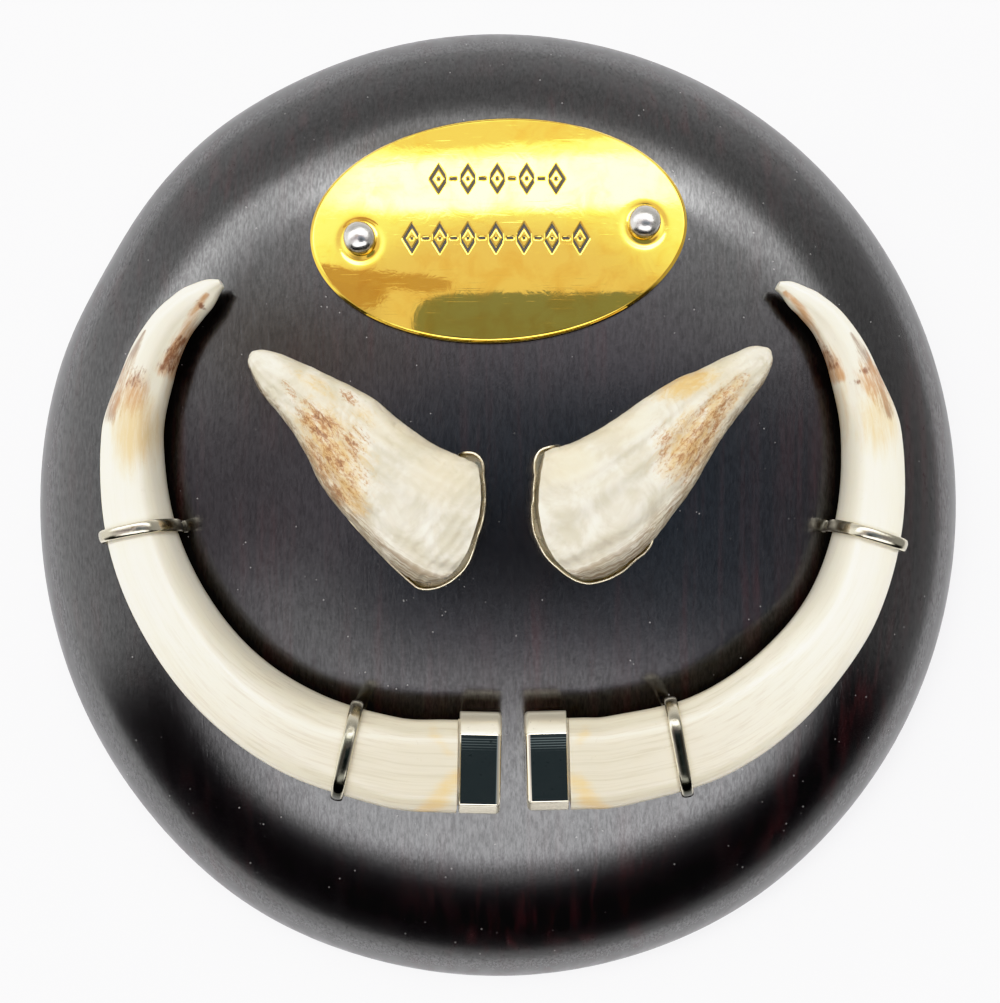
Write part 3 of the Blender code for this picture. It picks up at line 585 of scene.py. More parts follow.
@dataclass(frozen=True)
class VarnishedWood(Finish):
    """Near-black stained wood with upright grain, under a clear glossy varnish."""

    name: str = "varnished wood"
    shade: tuple = (0.0012, 0.0005, 0.0007)
    streak: tuple = (0.0170, 0.0030, 0.0036)
    pore: tuple = (0.0006, 0.0004, 0.0004)
    dust: tuple = (0.30, 0.29, 0.28)
    figure: Grain = Grain(260.0, 6.0, 0.62, 0.4, (1.0, 0.045, 1.0))
    glow: Grain = Grain(34.0, 2.0)
    pores: Grain = Grain(2100.0, 3.0, stretch=(1.0, 0.07, 1.0))
    fibre: Grain = Grain(1900.0, 4.0, 0.75, stretch=(1.0, 0.25, 1.0))
    peel: Grain = Grain(2300.0, 3.0, 0.65, stretch=(1.0, 0.6, 1.0))
    body_gloss: float = 0.10
    varnish_roughness: float = 0.17
    varnish_ior: float = 1.75

    def inputs(self, wires: Wiring) -> dict:
        """Streaks and pores stretched along Y, orange peel and dust in the varnish.

        Args:
            wires: The material's wiring.

        Returns:
            What goes into the shader's inputs.
        """
        place = wires.place()
        figure = self.figure.read(wires, place)
        glow = self.glow.read(wires, place)
        streaks = wires.times(wires.step(figure, 0.46, 0.70), wires.step(glow, 0.36, 0.66))
        colour = wires.mix(streaks, self.shade, self.streak)
        pores = wires.step(self.pores.read(wires, place), 0.58, 0.72)
        colour = wires.mix(wires.times(pores, 0.7), colour, self.pore)
        dust = wires.effect("specks", Place=place, Scale=520.0, Size=0.11, Least=0.575)
        facing = wires.add("ShaderNodeLayerWeight", {"Blend": 0.5}).outputs["Facing"]
        cover = wires.step(self.fibre.read(wires, place), 0.36, 0.60, 0.60, 1.02, "LINEAR")
        normal = wires.bump(pores, -0.000005)
        normal = wires.bump(figure, 0.000009, normal)
        normal = wires.bump(self.peel.read(wires, place), 0.000011, normal)
        return {
            "Base Color": wires.mix(dust, colour, self.dust),
            "Roughness": wires.step(figure, 0.3, 0.8, 0.36, 0.5),
            "Specular IOR Level": self.body_gloss,
            "Coat Weight": wires.times(cover, wires.step(facing, 0.50, 0.85, 1.0, 0.5)),
            "Coat IOR": self.varnish_ior,
            "Coat Roughness": self.varnish_roughness,
            "Coat Normal": normal,
            "Normal": wires.bump(dust, 0.00006, normal),
        }


@dataclass(frozen=True)
class Tooth(Finish):
    """What the two kinds of tooth share: soft light inside, and stains of several tints."""

    soft: float
    soft_reach: float
    soft_radius: tuple = (1.0, 0.7, 0.4)

    def stained(self, wires: Wiring, colour: Socket, stains: tuple) -> Socket:
        """Lay stains over a colour.

        Args:
            wires: The material's wiring.
            colour: The colour below.
            stains: Rows of the tint's name, its mark, noise, the noise's weight and the depth.

        Returns:
            The stained colour.
        """
        for name, mark, noise, grain, depth in stains:
            colour = wires.effect("stain", Colour=colour, Tint=getattr(self, name), Mark=mark,
                                  Noise=noise, Grain=grain, Depth=depth)
        return colour

    def softness(self) -> dict:
        """The inputs that let light into the tooth."""
        return {"Subsurface Weight": self.soft, "Subsurface Radius": self.soft_radius,
                "Subsurface Scale": self.soft_reach}


@dataclass(frozen=True)
class TuskIvory(Tooth):
    """Polished enamel and dentine of the lower tusks, stained at the tip and by the caps."""

    name: str = "tusk ivory"
    soft: float = 0.12
    soft_reach: float = 0.0012
    body: tuple = (0.80, 0.745, 0.585)
    pale: tuple = (0.83, 0.785, 0.655)
    # Colour towards the root end: partly the ivory's own tone, partly painted shade on the lower part of
    # the mount
    root: tuple = (0.62, 0.56, 0.42)
    line: tuple = (0.44, 0.37, 0.26)
    cream: tuple = (0.66, 0.46, 0.20)
    tan: tuple = (0.50, 0.235, 0.07)
    brown: tuple = (0.20, 0.06, 0.015)
    mauve: tuple = (0.15, 0.070, 0.040)
    lines: Grain = Grain(900.0, 5.0, 0.6, stretch=(0.035, 1.0, 1.0))
    bands: Grain = Grain(170.0, 2.0, stretch=(0.05, 1.0, 1.0))
    growth: Grain = Grain(1700.0, 4.0, 0.7, stretch=(0.016, 1.0, 1.0))
    mottle: Grain = Grain(420.0, 6.0, 0.65, 0.6)
    grit: Grain = Grain(1500.0, 5.0, 0.7, stretch=(0.3, 1.0, 1.0))
    drawn: Grain = Grain(800.0, 5.0, 0.75, 0.3, (0.10, 1.0, 1.0))

    def inputs(self, wires: Wiring) -> dict:
        """Lengthwise growth lines, with the marks' stains broken up by noise.

        Args:
            wires: The material's wiring.

        Returns:
            What goes into the shader's inputs.
        """
        flow, tan = wires.mark("flow", "Vector"), wires.mark("tan")
        colour = wires.mix(wires.step(self.bands.read(wires, flow), 0.3, 0.7), self.body, self.pale)
        # Darker towards the root end: partly the ivory's own tone, partly painted shade
        colour = wires.mix(wires.mark("rooted"), colour, self.root)
        growth = wires.step(self.growth.read(wires, flow), 0.46, 0.68)
        fine = wires.times(wires.mark("striation"), growth)
        colour = wires.mix(wires.times(fine, 0.44), colour, self.line)
        grit, drawn = self.grit.read(wires, flow), self.drawn.read(wires, flow)
        colour = self.stained(wires, colour, (
            ("cream", wires.mark("cream"), drawn, 1.3, 0.85),
            ("mauve", wires.mark("mauve"), drawn, 2.6, 0.75),
            ("tan", tan, drawn, 2.0, 0.85), ("brown", wires.mark("brown"), grit, 3.4, 0.9)))
        rough = wires.step(self.mottle.read(wires, flow), 0.2, 0.8, 0.26, 0.38)
        normal = wires.bump(self.lines.read(wires, flow), 0.00002)
        return {
            **self.softness(),
            "Base Color": colour,
            "Roughness": wires.math("ADD", rough, wires.times(tan, 0.18)),
            "Normal": wires.bump(wires.times(grit, tan), 0.00012, normal),
        }


@dataclass(frozen=True)
class GrinderEnamel(Tooth):
    """Dry, chalky enamel of the upper canines, with rusty stains, fine growth lines and painted shade on
    the lower edge.
    """

    name: str = "grinder enamel"
    soft: float = 0.1
    soft_reach: float = 0.001
    body: tuple = (0.58, 0.525, 0.39)
    white: tuple = (0.76, 0.71, 0.58)
    cream: tuple = (0.66, 0.56, 0.36)
    ochre: tuple = (0.62, 0.385, 0.12)
    rust: tuple = (0.36, 0.14, 0.02)
    umber: tuple = (0.14, 0.045, 0.022)
    # Colour of the painted shade along the tooth's lower edge, where it meets the wood and the cup
    painted_edge_shade: tuple = (0.26, 0.17, 0.09)
    crack: tuple = (0.055, 0.035, 0.022)
    blotch: Grain = Grain(130.0, 4.0, 0.6, 0.5)
    mottle: Grain = Grain(620.0, 6.0, 0.75, 0.8, (0.5, 1.0, 1.0))
    grit: Grain = Grain(1900.0, 6.0, 0.8, 0.5, (0.42, 1.0, 1.0))
    patchy: Grain = Grain(420.0, 3.0, 0.6, stretch=(0.30, 1.0, 1.0))
    layers: Grain = Grain(1500.0, 4.0, 0.8, stretch=(0.03, 1.0, 1.0))

    def inputs(self, wires: Wiring) -> dict:
        """Blotches of white and cream, and stains that gather in the grit.

        Args:
            wires: The material's wiring.

        Returns:
            What goes into the shader's inputs.
        """
        flow = wires.mark("flow", "Vector")
        blotch, mottle, grit, patchy = (grain.read(wires, flow) for grain in
                                        (self.blotch, self.mottle, self.grit, self.patchy))
        colour = wires.mix(wires.step(blotch, 0.35, 0.65), self.body, self.white)
        rusty = wires.mark("rust")
        rust = wires.times(rusty, wires.step(patchy, 0.34, 0.62, 0.40, 1.35))
        colour = self.stained(wires, colour, (
            ("cream", wires.mark("cream"), blotch, 1.0, 0.65),
            ("ochre", wires.mark("ochre"), mottle, 1.8, 0.9),
            ("rust", wires.math("SUBTRACT", rust, 0.02), grit, 4.4, 0.85)))
        dark = wires.times(wires.step(wires.times(grit, patchy), 0.25, 0.36),
                           wires.step(rusty, 0.35, 0.9))
        colour = wires.mix(wires.times(dark, 0.85), colour, self.umber)
        # Painted shade: a dark band along the lower edge seen from above, broken up by growth-line noise
        layers = wires.step(self.layers.read(wires, flow), 0.42, 0.58)
        painted_edge_shade = wires.times(layers, wires.mark("painted_edge_shade"))
        colour = wires.mix(wires.times(painted_edge_shade, 0.9), colour, self.painted_edge_shade)
        return {
            **self.softness(),
            "Base Color": wires.mix(wires.mark("crack"), colour, self.crack),
            "Roughness": wires.step(mottle, 0.2, 0.8, 0.42, 0.6),
            "Normal": wires.bump(grit, 0.00010, wires.bump(blotch, 0.0002)),
        }


@dataclass(frozen=True)
class PlatedMetal(Finish):
    """Polished metal with fine scratches, cloudy patches and a little tarnish.

    The satin mark is 1 where the metal is drawn and not polished, and another mark says where a
    dark reflection is painted into the colour of the wires' tops.
    """

    colour: tuple
    tarnish: tuple
    roughness: float
    scratch_turn: float = 12.0
    satin: float = 0.0
    hammer: float = 0.0
    scratched: float = 0.06
    # Colour of the dark reflection painted on the wires' tops
    painted_reflection_colour: tuple = (0.030, 0.032, 0.024)
    cloud: Grain = Grain(300.0, 3.0)
    spots: Grain = Grain(1400.0, 3.0, 0.6)

    def inputs(self, wires: Wiring) -> dict:
        """Scratches lean the normal and roughen, and tarnish lies in soft patches.

        Args:
            wires: The material's wiring.

        Returns:
            What goes into the shader's inputs.
        """
        place, satin = wires.place(), wires.mark("satin")
        cloud = self.cloud.read(wires, place)
        spots = wires.step(self.spots.read(wires, place), 0.62, 0.74)
        share = wires.times(spots, wires.step(cloud, 0.45, 0.65, 0.15, 0.75))
        colour = wires.mix(share, self.colour, self.tarnish)
        fine = wires.effect("hairlines", Place=place, Scale=5200.0, Least=0.62,
                            Turn=(0.0, 0.0, math.radians(self.scratch_turn)))
        rough = wires.math("ADD", wires.step(cloud, 0.3, 0.7, self.roughness, self.roughness * 1.7),
                           wires.times(fine, self.scratched))
        if self.satin:
            rough = wires.math("ADD", rough, wires.times(satin, self.satin))
        normal = wires.bump(fine, 0.00002 * self.scratched)
        if self.hammer:
            normal = wires.bump(cloud, self.hammer, normal)
        return {
            # Painted reflection: where its mark is set, the colour goes dark, as a mirror of the dark
            # above
            "Base Color": wires.mix(wires.mark("painted_reflection_mark"), colour, self.painted_reflection_colour),
            "Roughness": rough,
            "Metallic": wires.math("MULTIPLY_ADD", satin, -0.38, 1.0),
            "Normal": normal,
        }


@dataclass(frozen=True)
class StampedBrass(Finish):
    """Lacquered yellow brass whose stamped marks are filled with black."""

    name: str = "polished brass"
    colour: tuple = (0.92, 0.61, 0.075)
    deep: tuple = (0.86, 0.50, 0.045)
    ink: tuple = (0.018, 0.014, 0.008)
    cloud: Grain = Grain(160.0, 4.0, 0.6, 0.6)
    scratch_turn: float = -58.0
    lacquer: float = 0.25
    lacquer_roughness: float = 0.42

    def inputs(self, wires: Wiring) -> dict:
        """A mirror with soft haze, hairlines and the ink in its marks.

        Args:
            wires: The material's wiring.

        Returns:
            What goes into the shader's inputs.
        """
        place, ink = wires.place(), wires.mark("ink")
        cloud = self.cloud.read(wires, place)
        colour = wires.mix(wires.step(cloud, 0.4, 0.75), self.colour, self.deep)
        hair = wires.effect("hairlines", Place=place, Scale=3600.0, Least=0.64,
                            Turn=(0.0, 0.0, math.radians(self.scratch_turn)))
        rough = wires.math("ADD", wires.step(cloud, 0.3, 0.8, 0.03, 0.07), wires.times(hair, 0.10))
        return {
            "Base Color": wires.mix(ink, colour, self.ink),
            "Roughness": wires.math("ADD", rough, wires.times(ink, 0.5)),
            "Metallic": wires.math("MULTIPLY_ADD", ink, -0.95, 0.95),
            "Coat Weight": self.lacquer,
            "Coat Roughness": self.lacquer_roughness,
            "Normal": wires.bump(cloud, 0.000020, wires.bump(hair, 0.0000012)),
        }


@dataclass(frozen=True)
class PaleFloor(Finish):
    """A matt, near-white floor with faint clouds."""

    name: str = "pale floor"
    light: tuple = (0.90, 0.90, 0.905)
    lighter: tuple = (0.93, 0.93, 0.935)
    cloud: Grain = Grain(40.0, 2.0)

    def inputs(self, wires: Wiring) -> dict:
        """Blend the two tones by the clouds."""
        colour = wires.mix(self.cloud.read(wires, wires.place()), self.light, self.lighter)
        return {"Base Color": colour, "Roughness": 0.85, "Specular IOR Level": 0.2}


# The pieces


@dataclass
class Plaque:
    """The turned board, pulled a little tall, with the swells and flats of hand work."""

    radius: float = 117.0 * MM
    tallness: float = 1.0245
    face_radius: float = 77.0 * MM
    foot_round: float = 3.0 * MM
    middle_share: float = 0.02
    around: int = 420
    face_rings: int = 14
    shoulder_rings: int = 72
    foot_rings: int = 16
    back_rings: int = 5
    # Angle from +X and spread in degrees, height in metres
    swells: tuple = (
        (0.0, 24.0, -0.5 * MM), (180.0, 24.0, -0.5 * MM), (150.0, 9.0, -1.2 * MM),
        (128.0, 9.0, 0.6 * MM), (238.0, 14.0, 0.9 * MM), (302.0, 12.0, 0.4 * MM),
    )

    def profile(self) -> tuple[Array, Array]:
        """A flat face, a quarter ellipse, a quarter circle and a flat back.

        Returns:
            The radii and the heights, from the middle of the face to the middle of the back.
        """
        reach, drop = self.radius - self.face_radius, FACE_Z - self.foot_round
        face = np.linspace(self.middle_share, 1.0, self.face_rings, endpoint=False)
        turn = np.linspace(0.0, math.pi / 2, self.shoulder_rings)
        foot = np.linspace(0.0, math.pi / 2, self.foot_rings)[1:]
        back = np.linspace(1.0, self.middle_share, self.back_rings)[1:]
        radius = [face * self.face_radius, self.face_radius + reach * np.sin(turn),
                  self.radius - self.foot_round * (1 - np.cos(foot)),
                  back * (self.radius - self.foot_round)]
        height = [np.full(len(face), FACE_Z), self.foot_round + drop * np.cos(turn),
                  self.foot_round * (1 - np.sin(foot)), np.zeros(len(back))]
        return np.concatenate(radius)[:, None], np.concatenate(height)[:, None]

    def rings(self) -> Array:
        """Turn the profile about Z, then swell it by a sum of bells of the angle.

        Each bell grows with the fourth power of the radius, and Y is stretched by the tallness.

        Returns:
            The rings in metres.
        """
        radius, height = self.profile()
        angle = circle(self.around)
        swell = np.zeros(self.around)
        for middle, spread, rise in self.swells:
            away = (np.degrees(angle) - middle + 180.0) % 360.0 - 180.0
            swell += rise * np.exp(-(away / spread) ** 2)
        grow = 1.0 + swell / self.radius * (radius / self.radius) ** 4
        x = radius * np.cos(angle) * grow
        y = radius * np.sin(angle) * grow * self.tallness
        return np.stack([x, y, np.broadcast_to(height, x.shape)], axis=-1)

    def build(self) -> None:
        """Make the board's mesh and dress it."""
        Skin(self.rings(), {}).dress("plaque", VarnishedWood().material(), Slot.WOOD, 35.0)


@dataclass(frozen=True)
class Patch:
    """A soft oval mark seen from above: middle, reach along and across in mm, turn, strength."""

    x: float
    y: float
    along: float
    across: float
    turn: float = 0.0
    strength: float = 1.0
    fall: float = 0.8

    def cover(self, spots: Array) -> Array:
        """Bell of the distance, in reaches, raised to the third power for a firm edge.

        Args:
            spots: Points in plan, in mm.

        Returns:
            The mark's strength at each point.
        """
        turn = math.radians(self.turn)
        dx, dy = spots[..., 0] - self.x, spots[..., 1] - self.y
        along = (dx * math.cos(turn) + dy * math.sin(turn)) / self.along
        across = (dy * math.cos(turn) - dx * math.sin(turn)) / self.across
        return self.strength * np.exp(-self.fall * (along ** 2 + across ** 2) ** 1.5)


@dataclass(frozen=True)
class Streak:
    """A soft band along a line of points (x, y, half width) in mm, seen from above."""

    points: tuple
    strength: float = 1.0
    reach: float = 1.8

    def cover(self, spots: Array) -> Array:
        """1 on the line, eased to 0 at the reach in half-widths from the nearest run.

        Args:
            spots: Points in plan, in mm.

        Returns:
            The mark's strength at each point.
        """
        total = np.zeros(spots.shape[:-1])
        for start, end in zip(self.points[:-1], self.points[1:]):
            share, gap = run_gap(spots, start[:2], end[:2])
            width = start[2] + (end[2] - start[2]) * share
            total = np.maximum(total, 1.0 - smooth_step(gap / width, 0.0, self.reach))
        return self.strength * total


class Stained:
    """A tooth whose stains are fields with the marks' own names, tuples of patches and streaks."""

    def stains(self, rings: Array, names: tuple) -> dict[str, Array]:
        """Work out the strongest patch or streak of each stain at each point.

        Args:
            rings: The tooth's rings.
            names: The stains' names.

        Returns:
            The marks by name.
        """
        spots = rings[..., :2] / MM
        return {name: np.max([patch.cover(spots) for patch in getattr(self, name)], axis=0)
                for name in names}


@dataclass
class LowerTusk(Stained):
    """One long lower canine, from its worn tip to the root that enters its cap."""

    side: Side
    # Rows of (x, y, width, height, lift, share of the root's section) in mm, tip first
    stations: tuple
    cap_centre: tuple
    cap_turn: float
    cap_share: float
    tan: tuple
    brown: tuple
    mauve: tuple
    cream: tuple
    along: int = 300
    around: int = 96
    ease: float = 1.35
    facet_end: float = 34.0
    facet_fade: float = 12.0
    root_width: float = 17.6
    root_height: float = 12.6
    slant: float = 1.2 / 15.4
    root_lift: float = 1.4
    bow_middle: tuple = (0.0, 10.0)
    ridge_height: float = 0.05 * MM
    wave_height: float = 0.06 * MM

    tip_section = (
        (-0.50, 0.34), (-0.45, 0.62), (-0.29, 0.80), (-0.10, 0.96), (0.18, 1.00),
        (0.44, 0.74), (0.47, 0.36), (0.22, 0.04), (-0.10, 0.00), (-0.38, 0.08),
    )
    body_section = (
        (-0.50, 0.34), (-0.45, 0.68), (-0.27, 0.94), (0.08, 1.00), (0.37, 0.94),
        (0.50, 0.74), (0.45, 0.34), (0.24, 0.05), (-0.06, 0.00), (-0.36, 0.08),
    )
    root_section = (
        (-0.50, 0.58), (-0.45, 0.76), (-0.32, 0.89), (0.02, 0.96), (0.28, 1.00),
        (0.45, 0.87), (0.50, 0.64), (0.41, 0.22), (0.10, 0.00), (-0.28, 0.12),
    )

    def rings(self) -> tuple[Array, Array]:
        """Carry a section along the spine, blended from the tip's to the body's to the root's.

        Returns:
            The rings in metres, and the straightened place of each point: along, across, up.
        """
        rows = catmull_rom(self.stations, self.along, ease=self.ease)
        spine = rows[:, :2]
        width, height, lift, rooted = rows[:, 2:].T[..., None]
        ahead = unit(np.gradient(spine, axis=0))
        side = np.stack([ahead[:, 1], -ahead[:, 0]], axis=1)
        if ((spine - self.bow_middle) * side).sum() < 0:
            side = -side
        lengths = chord_lengths(spine)
        tip, body, root = (catmull_rom(section, self.around, closed=True) for section in
                           (self.tip_section, self.body_section, self.root_section))
        rooted = np.clip(rooted, 0.0, 1.0)[..., None]
        worn = smooth_step((lengths - self.facet_end) / self.facet_fade, -0.5, 0.5)[:, None, None]
        section = tip * (1 - worn) + (body * (1 - rooted) + root * rooted) * worn
        across = section[..., 0] * width
        up = section[..., 1] * height + lift
        plan = spine[:, None] + across[..., None] * side[:, None]
        rings = np.concatenate([plan, FACE_Z / MM + up[..., None]], axis=-1) * MM
        run = np.broadcast_to(lengths[:, None], across.shape)
        return rings, np.stack([run, across, up], axis=-1) * MM

    def relief(self, rings: Array, flow: Array) -> Array:
        """Move the surface in and out by lengthwise noise and worn dents.

        Args:
            rings: The plain rings.
            flow: The straightened place of each point.

        Returns:
            The moved rings.
        """
        noise = Relief(11 if self.side is Side.LEFT else 12)
        ridges = noise.layers(flow, (12.0, 420.0, 420.0), 2) * self.ridge_height
        waves = noise.layers(flow, (60.0, 120.0, 120.0), 2) * self.wave_height
        fade = smooth_step(flow[..., 0], 0.002, 0.02)
        return noise.push(rings, (ridges + waves) * fade)

    def root_rings(self) -> Array:
        """The shoulder at the cap's mouth, the neck that steps down from it and the dressed root.

        The shoulder has the last station's size, and what is inside lies on the cap's own axis.
        The rings near the mouth lean back as it does.

        Returns:
            The rings in metres.
        """
        ahead = heading(self.cap_turn)
        side = np.array([ahead[1], -ahead[0]]) * self.side.outward
        section = catmull_rom(self.root_section, self.around, closed=True)
        x, y, width, height, lift = self.stations[-1][:5]
        offset = (np.array([x, y]) - self.cap_centre) @ side
        dressed = (0.0, self.root_width * self.cap_share, self.root_height, self.root_lift)
        full = (offset, width, height, lift)
        # Place along the cap's axis, section's offset, width, height and lift, lean
        stops = ((-5.7, *full, self.slant), (-5.42, *full, self.slant),
                 (-5.34, offset, width - 0.12, height - 0.08, lift + 0.04, self.slant),
                 (-5.14, *dressed, self.slant), (-4.2, *dressed, 0.5 * self.slant),
                 (3.0, *dressed, 0.0),
                 (3.5, 0.0, dressed[1] - 0.8, dressed[2] - 0.6, dressed[3] + 0.3, 0.0))
        along, offset, width, height, lift, lean = np.array(stops).T[..., None]
        up = section[:, 1] * height + lift
        forward = along + lean * up
        across = offset + section[:, 0] * width
        plan = [self.cap_centre[axis] + forward * ahead[axis] + across * side[axis] for axis in (0, 1)]
        return np.stack([*plan, FACE_Z / MM + up], axis=-1) * MM

    def build(self, material: Material) -> Array:
        """Make the tusk's mesh with its marks, and dress it.

        Args:
            material: The ivory.

        Returns:
            The rings outside the cap, which the wire loops are bent over.
        """
        plain, flow = self.rings()
        root = self.root_rings()
        run = flow[-1, :, 0].max() + np.linspace(0.002, 0.010, len(root))[:, None]
        inside = np.stack([*np.broadcast_arrays(run, flow[-1, :, 1]), root[..., 2] - FACE_Z], axis=-1)
        rings = np.concatenate([self.relief(plain, flow), root])
        flow = np.concatenate([flow, inside])
        length = flow[..., 0] / MM
        marks = {
            "flow": flow,
            "striation": smooth_step(length, 60.0, 130.0) * 0.85 + 0.15,
            "rooted": smooth_step(length, 70.0, 150.0),
            **self.stains(rings, ("tan", "brown", "mauve", "cream")),
        }
        Skin(rings, marks).dress(self.side.word + "_lower_tusk", material, Slot.IVORY)
        return plain


@dataclass
class Grinder(Stained):
    """One upper canine: a stout ribbed cone, cut off square at its root."""

    side: Side
    # Rows of (upper x, y, lower x, y, height, lift) in mm, tip first
    stations: tuple
    bulge: float
    bow_power: float
    rust: tuple
    ochre: tuple
    cream: tuple
    cracks: tuple
    along: int = 260
    around: int = 144
    ease: float = 1.35
    side_level: float = 0.40
    roundness: float = 2.3
    ribs: float = 4.5
    rib_height: float = 0.022
    rib_growth: float = 1.6
    crack_level: float = 3.0 * MM
    # Sizes of the rings that close the root, as shares of its end
    end_shares: tuple = (0.97, 0.75, 0.4, 0.12)

    def rings(self) -> tuple[Array, Array]:
        """Half superellipses across each station, bowed out along the tooth towards the root.

        Returns:
            The rings in metres, and the straightened place of each point: along, across, up.
        """
        rows = catmull_rom(self.stations, self.along, ease=self.ease)
        upper, lower = rows[:, None, 0:2], rows[:, None, 2:4]
        spine = (rows[:, 0:2] + rows[:, 2:4]) / 2
        ahead = unit(spine[-1] - spine[0])
        turn, power = circle(self.around), 2.0 / self.roundness
        across = 0.5 + 0.5 * signed_power(np.cos(turn), power)
        rise = signed_power(np.sin(turn), power)
        level = np.where(rise > 0, self.side_level + rise * (1 - self.side_level),
                         self.side_level * (1 + rise))
        share = np.linspace(0.0, 1.0, self.along)[:, None]
        phase = 0.18 * np.sin(5.0 * share + 9.0 * across) + 0.10 * np.sin(11.0 * share + 4.0)
        ribs = np.cos((across + phase / self.ribs) * self.ribs * 2 * math.pi) * self.rib_height
        ribs = ribs * np.clip(rise, 0.0, 1.0) * np.minimum(1.0, share * self.rib_growth)
        bow = self.bulge * share ** 3 * (1 - np.abs(2 * across - 1) ** self.bow_power)
        plan = upper + (lower - upper) * across[None, :, None] + ahead * bow[..., None]
        up = rows[:, 5][:, None] + (level + ribs) * rows[:, 4][:, None]
        rings = np.concatenate([plan, FACE_Z / MM + up[..., None]], axis=-1) * MM
        width = np.linalg.norm(lower - upper, axis=-1)
        run = ((plan - spine[0]) * ahead).sum(axis=-1)
        return rings, np.stack([run, (across - 0.5) * width, up], axis=-1) * MM

    def relief(self, rings: Array, flow: Array) -> Array:
        """Cut growth lines across the root, grooves along the tooth, pits and worn facets.

        Args:
            rings: The plain rings.
            flow: The straightened place of each point.

        Returns:
            The moved rings.
        """
        noise = Relief(21 if self.side is Side.LEFT else 22)
        run = flow[..., 0] / MM
        rooted = smooth_step(run, run.max() * 0.55, run.max())
        warp = noise.layers(flow, 90.0, 3)
        growth = np.sin(run * 2.9 + 2.6 * warp) * 0.09 * rooted
        terraces = noise.layers(flow, (520.0, 60.0, 90.0), 2, 1.7)
        growth += smooth_step(terraces, -0.1, 0.5) * 0.12 * rooted
        grooves = noise.layers(flow, (30.0, 420.0, 160.0), 3) * 0.13
        lumps = noise.layers(flow, 150.0, 3) * 0.20
        pits = -smooth_step(noise.layers(flow, 900.0, 2, 3.1), 0.45, 0.95) * 0.16
        fade = smooth_step(run, 0.5, 6.0)
        return noise.push(rings, (growth + grooves + lumps + pits) * fade * MM)

    def crack_lines(self, rings: Array) -> Array:
        """1 on each crack's line and 0 a quarter of a millimetre away from it or low down.

        Args:
            rings: The tooth's rings.

        Returns:
            The crack mark at each point.
        """
        total = np.zeros(rings.shape[:-1])
        for start, end in self.cracks:
            gap = run_gap(rings[..., :2] / MM, start, end)[1]
            total = np.maximum(total, 1.0 - smooth_step(gap, 0.06, 0.28))
        return total * (rings[..., 2] > FACE_Z + self.crack_level)

    def lower_share(self, rings: Array) -> Array:
        """How far across each point lies, seen from above: 0 on the upper edge, 1 on the lower.

        Args:
            rings: The tooth's plain rings.

        Returns:
            The share at each point.
        """
        half = self.around // 2
        lower, upper = rings[:, :1, :2], rings[:, half:half + 1, :2]
        run = lower - upper
        return ((rings[..., :2] - upper) * run).sum(axis=-1) / np.maximum((run ** 2).sum(axis=-1), 1e-12)

    def build(self, material: Material) -> Array:
        """Make the tooth's mesh with its marks, and dress it.

        Args:
            material: The enamel.

        Returns:
            The tooth's outline seen from above, which its cup is kept clear of.
        """
        plain, flow = self.rings()
        rings = self.relief(plain, flow)
        middle = rings[-1].mean(axis=0)
        end = middle + (rings[-1] - middle) * np.array(self.end_shares)[:, None, None]
        none = np.zeros(end.shape[:2])
        whole = np.concatenate([rings, end])
        marks = {
            "flow": np.concatenate([flow, np.broadcast_to(flow[-1], end.shape)]),
            "crack": np.concatenate([self.crack_lines(rings), none]),
            # Painted shade along the lower edge seen from above
            "painted_edge_shade": np.concatenate([smooth_step(self.lower_share(plain), 0.80, 0.93), none]),
            **self.stains(whole, ("rust", "ochre", "cream")),
        }
        Skin(whole, marks).dress(self.side.word + "_grinder", material, Slot.ENAMEL)
        return self.outline(plain)

    def outline(self, rings: Array) -> Array:
        """Follow the tooth's edge seen from above, from its tip along its upper side.

        Args:
            rings: The tooth's plain rings.

        Returns:
            The closed line's points.
        """
        half = self.around // 2
        end = rings[-1, half - 1:0:-1, :2]
        return np.concatenate([rings[:, half, :2], end, rings[::-1, 0, :2]])


